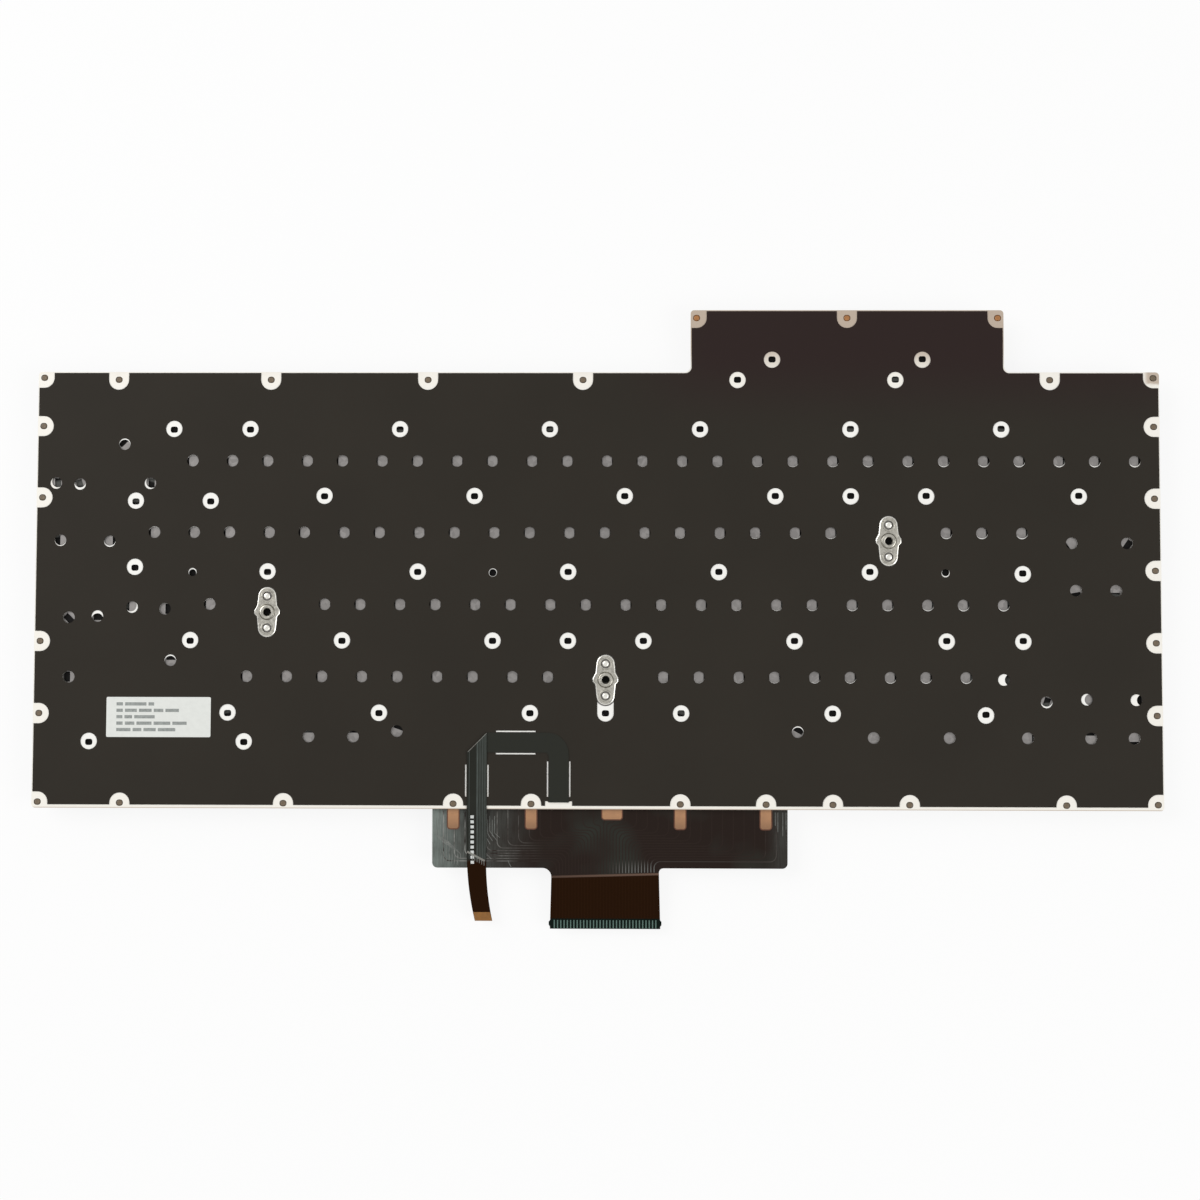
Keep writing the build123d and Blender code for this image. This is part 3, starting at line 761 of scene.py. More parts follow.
def white_film(colours):
    # White filled polyester film, calendered: bright, cream at its edges, browned at the bump, and darkened
    # by painted shade along its front edge.
    finish, tree, shader, place = new_material("white_polyester_film_calendered", IOR=1.57)
    x, y, _ = add_node(tree, "SeparateXYZ", {"Vector": place}).outputs
    patches = add_node(tree, "TexNoise", {"Vector": place, "Scale": per(5), "Detail": 4})
    aside = add_node(tree, "Math", {0: x}, operation="ABSOLUTE")
    side = between(tree, aside, 133, 140)
    front = between(tree, y, -42, -46)
    back = between(tree, y, 56, 60)
    ends = add_node(tree, "Math", {0: front, 1: back}, operation="MAXIMUM")
    edge = add_node(tree, "Math", {0: ends, 1: side}, operation="MAXIMUM")
    spread = add_node(tree, "Math", {0: patches, 1: 4 * MM, 2: y}, operation="MULTIPLY_ADD")
    age = between(tree, spread, 63, 72, 0.95)
    corner_x = between(tree, x, 138.2, 139.8, 0.9)
    corner_y = between(tree, spread, 60.8, 62)
    stain = add_node(tree, "Math", {0: corner_x, 1: corner_y}, operation="MULTIPLY")
    # Painted shade: the last 0.2 mm of the front edge darkens towards the browned colour, joined here with
    # the corner stain.
    rim = between(tree, y, -47.95, -48.15, 0.8)
    edge_shade_and_stain = add_node(tree, "Math", {0: rim, 1: stain}, operation="MAXIMUM")
    browned = add_node(tree, "Math", {0: age, 1: edge_shade_and_stain}, operation="MAXIMUM")
    clean = add_node(
        tree, "Mix", {0: patches, 6: shade(colours.reflector, 0.95), 7: shade(colours.reflector, 1.04)}
    )
    yellowed = add_node(tree, "Mix", {0: edge, 6: clean, 7: list(colours.cream)})
    tone = add_node(tree, "Mix", {0: browned, 6: yellowed, 7: list(colours.aged)})
    fibre = add_node(tree, "TexNoise", {"Vector": place, "Scale": per(0.4), "Detail": 2})
    rough = add_node(tree, "MapRange", {"Value": fibre, "To Min": 0.36, "To Max": 0.52})
    bump = add_node(tree, "Bump", {"Height": fibre, "Strength": 0.12, "Distance": 0.03 * MM})
    dress(tree, shader, tone, rough, bump)
    return finish


def zinc_steel(colours):
    # Zinc-coated sheet steel, cold rolled: mid grey, with fine rolling lines and cloudy spangle.
    finish, tree, shader, place = new_material("zinc_coated_steel_rolled", Metallic=1.0)
    spangle = add_node(tree, "TexVoronoi", {"Vector": place, "Scale": per(1.1)})
    stretch = add_node(tree, "Mapping", {"Vector": place, "Scale": (0.06, 1.0, 1.0)})
    lines = add_node(tree, "TexNoise", {"Vector": stretch, "Scale": per(0.22), "Detail": 2})
    tone = add_node(
        tree, "Mix",
        {0: spangle.outputs["Color"], 6: shade(colours.plate, 0.78), 7: shade(colours.plate, 1.12)},
    )
    rough = add_node(tree, "MapRange", {"Value": lines, "To Min": 0.34, "To Max": 0.55})
    bump = add_node(tree, "Bump", {"Height": lines, "Strength": 0.3, "Distance": 0.02 * MM})
    dress(tree, shader, tone, rough, bump)
    return finish


def nickel_steel(name, base, dark, light):
    # Nickel-plated stamped steel: satin metal, a little warm and mottled by the press.
    finish, tree, shader, place = new_material(name, Metallic=1.0)
    marks = add_node(tree, "TexNoise", {"Vector": place, "Scale": per(0.6), "Detail": 5, "Roughness": 0.7})
    sharp = add_node(tree, "MapRange", {"Value": marks, "From Min": 0.3, "From Max": 0.7})
    tone = add_node(tree, "Mix", {0: sharp, 6: shade(base, dark), 7: shade(base, light)})
    rough = add_node(tree, "MapRange", {"Value": marks, "To Min": 0.2, "To Max": 0.4})
    bump = add_node(tree, "Bump", {"Height": marks, "Strength": 0.35, "Distance": 0.05 * MM})
    dress(tree, shader, tone, rough, bump)
    return finish


def clear_sheet(colours):
    # Clear polycarbonate sheet, extruded: colourless gloss with a printed dot grain that spreads light.
    finish, tree, shader, place = new_material("clear_polycarbonate_extruded", IOR=1.58, Roughness=0.12)
    shader.inputs["Transmission Weight"].default_value = 0.9
    dots = add_node(tree, "TexVoronoi", {"Vector": place, "Scale": per(0.8)})
    tone = add_node(
        tree, "Mix",
        {0: dots.outputs["Distance"], 6: shade(colours.guide, 1.05), 7: shade(colours.guide, 0.9)},
    )
    bump = add_node(
        tree, "Bump", {"Height": dots.outputs["Distance"], "Strength": 0.1, "Distance": 0.02 * MM}
    )
    dress(tree, shader, tone, bump=bump)
    return finish


def shaded_membrane(colours):
    # Polyester switch film, black as painted shade so that the holes which show it look deep: dull, with fine
    # silver-paste lines showing through.
    finish, tree, shader, place = new_material(
        "switch_film_black_painted_shade", IOR=1.57, Specular_IOR_Level=0.08
    )
    bend = add_node(tree, "TexNoise", {"Vector": place, "Scale": per(40), "Detail": 1})
    lines = add_node(
        tree, "TexWave", {"Vector": place, "Scale": per(20), "Distortion": 6.0, "Detail": 1},
        bands_direction="Y",
    )
    thin = add_node(tree, "MapRange", {"Value": lines.outputs["Fac"], "From Min": 0.86, "From Max": 0.97})
    tone = add_node(tree, "Mix", {0: thin, 6: list(colours.membrane), 7: shade(colours.trace, 0.35)})
    rough = add_node(tree, "MapRange", {"Value": bend, "To Min": 0.5, "To Max": 0.7})
    dress(tree, shader, tone, rough)
    return finish


def flex_film(colours, name, base, greys, tail, slope=0.0, crease=None):
    # Polyimide flex with a dark cover film, laminated: brown-black, with grey painted sheen, partly wear, in
    # bands along X.
    finish, tree, shader, place = new_material(name, IOR=1.6, Specular_IOR_Level=0.03)
    x, y, _ = add_node(tree, "SeparateXYZ", {"Vector": place}).outputs
    cloud = add_node(tree, "TexNoise", {"Vector": place, "Scale": per(6), "Detail": 4, "Roughness": 0.6})
    # Streaks of that sheen and wear run down the film, 0.35 mm apart.
    stretch = add_node(tree, "Mapping", {"Vector": place, "Scale": (1.0, 0.08, 1.0)})
    sheen_streaks = add_node(tree, "TexNoise", {"Vector": stretch, "Scale": per(0.35), "Detail": 3})
    worn = add_node(tree, "Math", {0: cloud, 1: sheen_streaks}, operation="MULTIPLY")
    patchy = add_node(tree, "MapRange", {"Value": worn, "From Min": 0.1, "From Max": 0.36, "To Min": 0.4})
    rubbed = shade(base, 0.85)
    for start, end, share in greys:
        reach = between(tree, x, start, end, share)
        grey = add_node(tree, "Math", {0: reach, 1: patchy}, operation="MULTIPLY")
        layer = add_node(tree, "Mix", {0: grey, 6: rubbed, 7: list(colours.slate)})
        rubbed = layer
    drift = add_node(tree, "TexNoise", {"Vector": place, "Scale": per(16), "Detail": 2})
    dull = add_node(tree, "MapRange", {"Value": drift, "From Min": 0.5, "From Max": 0.72})
    clouded = add_node(
        tree, "Mix", {0: dull, 6: rubbed, 7: shade(colours.strip, 0.9)}, blend_type="LIGHTEN"
    )
    along = add_node(tree, "Math", {0: x, 1: -slope, 2: y}, operation="MULTIPLY_ADD")
    brown = between(tree, along, *tail)
    tone = add_node(tree, "Mix", {0: brown, 6: clouded, 7: list(colours.tail)})
    if crease is not None:
        # Painted highlight along the crease, faint at the left and full towards the right.
        past = add_node(tree, "Math", {0: along, 1: crease}, operation="SUBTRACT")
        off = add_node(tree, "Math", {0: past}, operation="ABSOLUTE")
        line = between(tree, off, 0.4, 0.1)
        right = between(tree, x, -40, 14)
        bright = add_node(tree, "Math", {0: line, 1: right}, operation="MULTIPLY")
        tone = add_node(tree, "Mix", {0: bright, 6: tone, 7: list(colours.fold)})
    rough = add_node(tree, "MapRange", {"Value": cloud, "To Min": 0.32, "To Max": 0.5})
    bump = add_node(tree, "Bump", {"Height": cloud, "Strength": 0.3, "Distance": 0.15 * MM})
    dress(tree, shader, tone, rough, bump)
    return finish


def speckled(name, light, dark, grain, rough, relief, **sockets):
    """A material whose colour, gloss and surface vary over a grain, with its sizes in millimetres."""
    finish, tree, shader, place = new_material(name, **sockets)
    specks = add_node(tree, "TexNoise", {"Vector": place, "Scale": per(grain), "Detail": 4})
    tone = add_node(tree, "Mix", {0: specks, 6: dark, 7: light})
    gloss = add_node(tree, "MapRange", {"Value": specks, "To Min": rough[0], "To Max": rough[1]})
    bump = add_node(tree, "Bump", {"Height": specks, "Strength": 0.3, "Distance": relief * MM})
    dress(tree, shader, tone, gloss, bump)
    return finish


def trace_print(colours):
    # Silver paste under dark varnish, screen printed: faint lines, pale at the ends with painted sheen and
    # wear, and a painted gleam above the crease.
    finish, tree, shader, place = new_material(
        "silver_paste_print_varnished", IOR=1.5, Specular_IOR_Level=0.05
    )
    x, y, _ = add_node(tree, "SeparateXYZ", {"Vector": place}).outputs
    cloud = add_node(tree, "TexNoise", {"Vector": place, "Scale": per(4), "Detail": 3, "Roughness": 0.6})
    patchy = add_node(tree, "MapRange", {"Value": cloud, "From Min": 0.36, "From Max": 0.62})
    left = between(tree, x, -12, -36, 0.85)
    right = between(tree, x, 40, 47, 0.15)
    ends = add_node(tree, "Math", {0: left, 1: right}, operation="MAXIMUM")
    worn = add_node(tree, "Math", {0: ends, 1: patchy}, operation="MULTIPLY")
    faint = add_node(tree, "Mix", {0: worn, 6: shade(colours.flex, 1.05), 7: list(colours.trace)})
    low = between(tree, y, -60.6, -63.6)
    aside = between(tree, x, 2, 9, 0.75)
    gleam = add_node(tree, "Math", {0: low, 1: aside}, operation="MULTIPLY")
    bright = add_node(tree, "Mix", {0: gleam, 6: faint, 7: shade(colours.trace, 0.55)})
    tail = between(tree, y, -64.4, -65)
    tone = add_node(tree, "Mix", {0: tail, 6: bright, 7: shade(colours.tail, 1.2)})
    rough = add_node(tree, "MapRange", {"Value": cloud, "To Min": 0.32, "To Max": 0.5})
    dress(tree, shader, tone, rough)
    return finish


def track_sheen(colours):
    # Copper tracks picked out by painted sheen, partly where the cover film has rubbed thin: fine broken grey
    # streaks.
    return speckled(
        "copper_tracks_painted_sheen", list(colours.trace), shade(colours.slate, 0.35),
        grain=1.4, rough=(0.35, 0.5), relief=0.01, IOR=1.6, Specular_IOR_Level=0.05,
    )


def amber_film(colours):
    # Bare polyimide film, cast: orange-brown and half gloss, darkened away from the sheet's edge by painted
    # shade.
    finish, tree, shader, place = new_material("amber_polyimide_film_cast", IOR=1.7, Specular_IOR_Level=0.3)
    _, y, _ = add_node(tree, "SeparateXYZ", {"Vector": place}).outputs
    cloud = add_node(tree, "TexNoise", {"Vector": place, "Scale": per(1.6), "Detail": 4})
    mottled = add_node(tree, "Mix", {0: cloud, 6: shade(colours.amber, 0.9), 7: shade(colours.amber, 1.25)})
    # Painted shade: each window darkens towards its foot, away from the sheet's edge.
    deep = between(tree, y, -49.5, -53.5, 0.75)
    tone = add_node(tree, "Mix", {0: deep, 6: mottled, 7: shade(colours.amber, 0.55)})
    rough = add_node(tree, "MapRange", {"Value": cloud, "To Min": 0.25, "To Max": 0.42})
    dress(tree, shader, tone, rough)
    return finish


def window_shadow(colours):
    # Painted shadow round an amber window: a dark red-brown, glossy frame below and beside it.
    return speckled(
        "amber_window_painted_shadow", shade(colours.brown, 1.2), shade(colours.brown, 0.6),
        grain=1.2, rough=(0.3, 0.45), relief=0.02, IOR=1.5,
    )


def bare_end(colours):
    # Bare polyimide over copper, etched: deep amber with darker bands.
    return speckled(
        "bare_polyimide_end_etched", shade(colours.bare_end, 1.3), shade(colours.bare_end, 0.6),
        grain=1.0, rough=(0.28, 0.42), relief=0.02, IOR=1.7, Specular_IOR_Level=0.3,
    )


def crease_shine(colours):
    # Painted highlight along a fold and across a crease: a fine pale line.
    return speckled(
        "crease_painted_highlight", shade(colours.slate, 1.2), shade(colours.fold, 0.9),
        grain=0.8, rough=(0.3, 0.45), relief=0.01, IOR=1.6,
    )


def strip_lines(colours):
    # Copper tracks under the cover film, etched: lengthwise lines a shade lighter than the film.
    return speckled(
        "covered_copper_tracks_etched", shade(colours.slate, 0.55), shade(colours.slate, 0.25),
        grain=2.5, rough=(0.32, 0.5), relief=0.01, IOR=1.6, Specular_IOR_Level=0.05,
    )


def contact_carbon(colours):
    # Carbon ink over silver, printed: pale grey-green strips with a dull sheen.
    return speckled(
        "carbon_ink_contact_printed", shade(colours.contact, 1.12), shade(colours.contact, 0.7),
        grain=0.6, rough=(0.3, 0.5), relief=0.01, Metallic=0.2, Specular_IOR_Level=0.2,
    )


def stiffener_film(colours):
    # Polyester stiffener, cut sheet: dark green-black with a clean satin face.
    return speckled(
        "dark_polyester_stiffener_cut", shade(colours.stiffener, 1.3), shade(colours.stiffener, 0.75),
        grain=1.2, rough=(0.35, 0.5), relief=0.02, IOR=1.57, Specular_IOR_Level=0.05,
    )


def label_paper(colours):
    # Coated paper, self-adhesive: pale grey-green with soft fibre clouding.
    return speckled(
        "coated_label_paper", shade(colours.paper, 1.05), shade(colours.paper, 0.93),
        grain=1.1, rough=(0.5, 0.65), relief=0.02, IOR=1.5,
    )


def label_ink(colours):
    # Thermal print: soft grey, broken where the dots are weak.
    return speckled(
        "thermal_print_grey", shade(colours.ink, 1.7), shade(colours.ink, 0.5),
        grain=0.45, rough=(0.5, 0.7), relief=0.005, IOR=1.5,
    )


def mark_ink(colours):
    # White legend ink, screen printed: chalky and a little thin at its edges.
    return speckled(
        "white_legend_ink_printed", shade(colours.mark, 1.1), shade(colours.mark, 0.7),
        grain=0.6, rough=(0.55, 0.7), relief=0.005, IOR=1.5,
    )


def stake_plastic(name, base):
    # Heat-staked thermoplastic: small grey-brown heads, melted smooth.
    return speckled(
        name, shade(base, 1.25), shade(base, 0.7), grain=0.7, rough=(0.3, 0.5), relief=0.03, IOR=1.5
    )


def cap_plastic(colours):
    # Black ABS, moulded with a spark-eroded face: deep black, fine grain and a soft highlight.
    return speckled(
        "black_abs_spark_textured", shade(colours.cap, 1.2), shade(colours.cap, 0.8),
        grain=0.5, rough=(0.42, 0.56), relief=0.03, IOR=1.54, Specular_IOR_Level=0.3,
    )


def dome_rubber(colours):
    # Silicone rubber, moulded: milky, waxy and a little see-through.
    return speckled(
        "milky_silicone_rubber_moulded", shade(colours.dome, 1.06), shade(colours.dome, 0.92),
        grain=2.0, rough=(0.4, 0.55), relief=0.02,
        IOR=1.43, Subsurface_Weight=0.25, Subsurface_Scale=1.0 * MM,
    )


def lever_acetal(colours):
    # White acetal, moulded: slippery, smooth and slightly yellow.
    return speckled(
        "white_acetal_moulded", shade(colours.lever, 1.08), shade(colours.lever, 0.92),
        grain=1.5, rough=(0.3, 0.42), relief=0.01, IOR=1.48,
    )


def white_to_eye(tree):
    """1 for rays from the camera, off a glossy surface or through a clear one, and 0 for the rest."""
    path = add_node(tree, "LightPath")
    seen = add_node(
        tree, "Math", {0: path.outputs["Is Camera Ray"], 1: path.outputs["Is Glossy Ray"]},
        operation="MAXIMUM",
    )
    seen_too = add_node(
        tree, "Math", {0: seen, 1: path.outputs["Is Transmission Ray"]}, operation="MAXIMUM"
    )
    return seen_too


def floor_paper(colours):
    # Seamless studio paper: near white for the camera and for reflections, and it still takes a shadow.
    finish, tree, shader, place = new_material("studio_paper_matt", IOR=1.45)
    pulp = add_node(tree, "TexNoise", {"Vector": place, "Scale": per(4), "Detail": 3})
    rough = add_node(tree, "MapRange", {"Value": pulp, "To Min": 0.85, "To Max": 0.95})
    dress(tree, shader, rough=rough)
    shader.inputs["Base Color"].default_value = colours.floor
    shader.inputs["Specular IOR Level"].default_value = 0.1
    share = add_node(tree, "Math", {0: white_to_eye(tree), 1: 0.88}, operation="MULTIPLY")
    glow = add_node(tree, "Emission", {"Color": (1, 1, 1, 1), "Strength": 1.0})
    both = add_node(tree, "MixShader", {0: share, 1: shader, 2: glow})
    tree.links.new(output_of(both), tree.nodes["Material Output"].inputs["Surface"])
    return finish


# Outlines of the brackets, windows and stakes

def bracket_outline(steel, middle, growth, ring=None, ring_radius=0.0):
    """Outline of a bracket, grown all round, which runs on to the window of a ring below it."""
    end = steel.end_radius + growth
    ear = steel.ear_reach + growth
    top = middle + Vector((0, steel.rivet_offset))
    bottom = middle - Vector((0, steel.rivet_offset))
    turns = [math.pi * k / 14 for k in range(15)]
    path = [top + end * Vector((math.cos(a), math.sin(a))) for a in turns]
    sides = [(-end - 0.25 * MM, 1.7 * MM), (-ear, 0.5 * MM)]
    sides += [(-ear, -0.45 * MM), (-end - 0.3 * MM, -1.1 * MM)]
    if ring is not None:
        sides += [(-end, -steel.rivet_offset), (-ring_radius, -steel.rivet_offset - 1.2 * MM)]
        bottom, end = ring, ring_radius
    path += [middle + Vector(place) for place in sides]
    path += [bottom + end * Vector((math.cos(a + math.pi), math.sin(a + math.pi))) for a in turns]
    path += [middle + Vector((-x, y)) for x, y in reversed(sides)]
    return path


# Windows behind the wide keys: place in mm, then the side that a slot in the plate shows on, how far
# out it lies, the way the white film's hole has slipped and how far (angles in degrees, lengths in mm).
ODD_WINDOWS = [
    (-137.5, 34.0, 0, 0.1, 45, 0.55),
    (-131.4, 33.7, 200, 0.4, 90, 0.6),
    (-113.4, 33.9, 0, 0.0, 40, 0.5),
    (-120.1, 43.9, 135, 1.0, -90, 0.3),
    (-136.1, 19.4, 180, 1.2, 90, 0.2),
    (-123.5, 19.2, 0, 1.2, 90, 0.3),
    (-133.6, -0.2, 225, 0.5, 0, 0.0),
    (-126.4, 0.1, 270, 0.2, 270, 0.75),
    (-117.6, 2.4, 180, 1.8, 130, 0.5),
    (-109.3, 2.0, 0, 0.6, 0, 0.0),
    (-107.7, -11.0, 90, 0.9, 270, 0.35),
    (-133.5, -15.2, 180, 0.8, 0, 0.0),
    (-72.5, -30.2, 90, 1.75, 0, 0.0),
    (-61.3, -30.2, 90, 1.75, 0, 0.0),
    (-50.2, -28.8, 70, 1.3, 0, 0.0),
    (50.8, -28.8, 60, 0.7, 270, 0.3),
    (69.8, -30.2, 90, 2.3, 0, 0.0),
    (88.9, -30.2, 90, 2.3, 0, 0.0),
    (108.5, -30.2, 0, 2.1, 0, 0.0),
    (124.3, -30.2, 90, 1.5, 0, 0.0),
    (135.2, -30.2, 270, 1.6, 0, 0.0),
    (102.6, -15.5, 0, 0.9, 0, 1.7),
    (113.3, -21.1, 340, 0.3, 90, 0.4),
    (123.4, -20.4, 90, 2.2, 0, 0.9),
    (135.7, -20.5, 0, 0.9, 0, 1.6),
    (119.9, 19.0, 215, 1.6, 0, 0.0),
    (133.8, 19.0, 325, 0.7, 0, 0.0),
    (120.9, 7.0, 280, 1.3, 0, 0.0),
    (131.0, 7.0, 270, 1.3, 0, 0.0),
]


def pointing(degrees, reach):
    """A step of some length in millimetres along an angle."""
    turn = math.radians(degrees)
    return Vector((math.cos(turn), math.sin(turn))) * reach * MM


def odd_window(middle):
    """The row of ODD_WINDOWS that lies nearest to a window."""
    return min(ODD_WINDOWS, key=lambda row: (Vector(row[:2]) * MM - middle).length)


def turned_film(films, middle):
    """Where an opening of the white film lies, which is turned a little against the black one."""
    return middle + Vector((0, films.film_turn * middle.x))


def slipped(films, middle, paired):
    """Where a hook window of the white film lies behind one of the black film."""
    if paired:
        return turned_film(films, middle) + Vector((0, films.window_slip))
    row = odd_window(middle)
    return middle + pointing(row[4], row[5])


def pin_outline(films, middle):
    """A stake hole: a rounded rectangle, wider than tall."""
    reach = Vector((films.pin_wide, films.pin_tall))
    return rounded(box_outline(middle - reach, middle + reach), [films.pin_round] * 4, 4)


def stake_outline(films, middle, growth=0.0):
    """A stake pin in an edge tab: nearly square, with round corners."""
    reach = Vector((films.stake_wide + growth, films.stake_tall + growth))
    return rounded(box_outline(middle - reach, middle + reach), [films.pin_round + growth] * 4, 4)


# Operators, one for each piece or group of like pieces

class KEYBOARD_OT_backing_film(bpy.types.Operator):
    """Make the black film with its round windows, tab notches and slits"""

    bl_idname = "keyboard.backing_film"
    bl_label = "Backing Film"

    def execute(self, context):
        films, steel = context.scene.keyboard_films, context.scene.keyboard_steel
        notches = [(tab, films.tab_half, True) for tab in tab_places()]
        strip_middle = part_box("backlight_flex")[1].x - context.scene.keyboard_flex.strip_width / 2
        entry = Vector((strip_middle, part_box("reflector_film")[0].y + films.entry_depth))
        notches.append((entry, films.entry_half, False))
        outlines = [notched(sheet_corners(films, "backing_film"), notches, films.inner_round)]
        rings = ring_places()
        for middle in bracket_places():
            below = ring_below(rings, middle)
            rings = [ring for ring in rings if ring is not below]
            outlines.append(bracket_outline(steel, middle, steel.film_gap, below, films.ring_window))
        outlines += [circle(ring, films.ring_window, films.ring_window, RING_SIDES) for ring in rings]
        for place, _, _ in hook_places():
            outlines.append(circle(place, films.hook_window, films.hook_window, WINDOW_SIDES))
        outlines += [circle(vent, films.vent, films.vent, VENT_SIDES) for vent in vent_places()]
        outlines += slit_outlines()
        finish = black_film(context.scene.keyboard_finishes)
        sheet_piece("backing_film", outlines, finish, "backing_black")
        return {"FINISHED"}


class KEYBOARD_OT_reflector_film(bpy.types.Operator):
    """Make the white film that shows in the rings, the tabs and the rim"""

    bl_idname = "keyboard.reflector_film"
    bl_label = "Reflector Film"

    def execute(self, context):
        films, steel = context.scene.keyboard_films, context.scene.keyboard_steel
        outlines = [sheet_outline(films, "reflector_film")]
        outlines += [bracket_outline(steel, middle, steel.clearance) for middle in bracket_places()]
        outlines += [pin_outline(films, turned_film(films, place)) for place in ring_places()]
        outlines += [stake_outline(films, place, films.stake_gap) for place in tab_places()]
        for place, _, paired in hook_places():
            radius = films.hook_window + (films.window_slip if paired else 0)
            outlines.append(circle(slipped(films, place, paired), radius, radius, WINDOW_SIDES))
        narrowed = films.vent * 0.88
        for vent in vent_places():
            outlines.append(circle(turned_film(films, vent), narrowed, narrowed, VENT_SIDES))
        finish = white_film(context.scene.keyboard_finishes)
        sheet_piece("reflector_film", outlines, finish, "reflector_white")
        return {"FINISHED"}


class KEYBOARD_OT_light_guide(bpy.types.Operator):
    """Make the clear sheet between the white film and the plate"""

    bl_idname = "keyboard.light_guide"
    bl_label = "Light Guide"

    def execute(self, context):
        films, steel = context.scene.keyboard_films, context.scene.keyboard_steel
        holes = ring_places() + vent_places()
        outlines = [sheet_outline(films, "light_guide")]
        outlines += [bracket_outline(steel, middle, steel.clearance) for middle in bracket_places()]
        outlines += [circle(place, films.guide_wide, films.guide_tall, HOLE_SIDES) for place in holes]
        for place, _, _ in hook_places():
            outlines.append(circle(place, films.guide_hook, films.guide_hook, HOLE_SIDES))
        finish = clear_sheet(context.scene.keyboard_finishes)
        sheet_piece("light_guide", outlines, finish, "guide_sheet")
        return {"FINISHED"}


class KEYBOARD_OT_support_plate(bpy.types.Operator):
    """Make the steel plate with its stake holes, and the hooks stamped out of it"""

    bl_idname = "keyboard.support_plate"
    bl_label = "Support Plate"

    def execute(self, context):
        films, steel = context.scene.keyboard_films, context.scene.keyboard_steel
        low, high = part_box("support_plate")
        finish = zinc_steel(context.scene.keyboard_finishes)
        outlines = [sheet_outline(films, "support_plate")]
        holes = ring_places() + vent_places()
        outlines += [circle(place, films.plate_wide, films.plate_tall, HOLE_SIDES) for place in holes]
        outlines += [stake_outline(films, place, films.stake_gap) for place in tab_places()]
        for place in bracket_places():
            outlines.append(circle(place, steel.bore_radius, steel.bore_radius, VENT_SIDES))
        hooks = []
        for place, away, paired in hook_places():
            _, _, angle, reach, _, _ = odd_window(place)
            place = Vector((place.x * (1 - steel.plate_pull), place.y))
            if paired:
                step = away * (steel.hook_edge + steel.hook_slot / 2)
                for middle in (place - step, place + step):
                    outlines.append(turned_box(middle, away, steel.hook_slot / 2, steel.hook_half))
                hooks.append(self.hook(steel, place, away, low.z, high.z))
            else:
                middle, along = place + pointing(angle, reach), pointing(angle, 1 / MM)
                outlines.append(turned_box(middle, along, steel.odd_slot, steel.hook_half))
        sheet_piece("support_plate", outlines, finish, "plate_metal")
        joined_piece("plate_hooks", hooks, finish, "plate_metal", smooth=40)
        return {"FINISHED"}

    def hook(self, steel, place, away, low, high):
        """A tongue that bends out of the plate on a window's inner side, over a lever's pin."""
        thick = high - low
        play, thinned = 0.1 * MM, 0.84
        root, middle_z = steel.hook_edge - play, high - thick / 2
        spine = [(root, middle_z, 0)]
        steps = 5
        for step in range(1, steps + 1):
            turn = math.pi / 2 * step / steps
            spine.append((root + thick * math.sin(turn), middle_z - thick * (1 - math.cos(turn)), turn))
        spine.append((root + thick, low - steel.hook_drop, math.pi / 2))
        side = (Vector((-away.y, away.x)) * (steel.hook_half - play)).to_3d()
        rings = []
        for reach, z, turn in spine:
            middle = (place - away * reach).to_3d() + Vector((0, 0, z))
            outward = (-away * math.sin(turn)).to_3d() + Vector((0, 0, math.cos(turn)))
            top, bottom = middle + outward * thick * thinned / 2, middle - outward * thick * thinned / 2
            rings.append([top - side, bottom - side, bottom + side, top + side])
        return loft(rings)


class KEYBOARD_OT_membrane(bpy.types.Operator):
    """Give the switch film its black painted-shade finish with fine lines, and set the stake pins in the edge
    tabs
    """

    bl_idname = "keyboard.membrane"
    bl_label = "Membrane and Stakes"

    def execute(self, context):
        films, colours = context.scene.keyboard_films, context.scene.keyboard_finishes
        node = frame["nodes"]["membrane_circuit"]
        node.data.materials.clear()
        node.data.materials.append(shaded_membrane(colours))
        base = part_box("support_plate")[0].z
        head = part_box("reflector_film")[1].z
        foot, shoulder = films.stake_gap - 0.01 * MM, head - 0.3 * MM
        # How far the outline grows at each height, from the flange to the melted crown
        levels = [(foot, base), (foot, shoulder), (0, shoulder), (0, head - 0.12 * MM)]
        levels += [(-0.06 * MM, head - 0.06 * MM), (-0.2 * MM, head - 0.03 * MM)]
        levels.append((-0.4 * MM, head - 0.07 * MM))
        pins, browned = [], []
        for place in tab_places():
            rings = [at_height(stake_outline(films, place, growth), z) for growth, z in levels]
            (browned if place.y > films.back_edge else pins).append(loft(rings))
        finish = stake_plastic("staked_thermoplastic", colours.stake)
        joined_piece("stake_pins", pins, finish, "membrane_film", smooth=50)
        finish = stake_plastic("staked_thermoplastic_browned", colours.stake_brown)
        joined_piece("stake_pins_browned", browned, finish, "membrane_film", smooth=50)
        return {"FINISHED"}


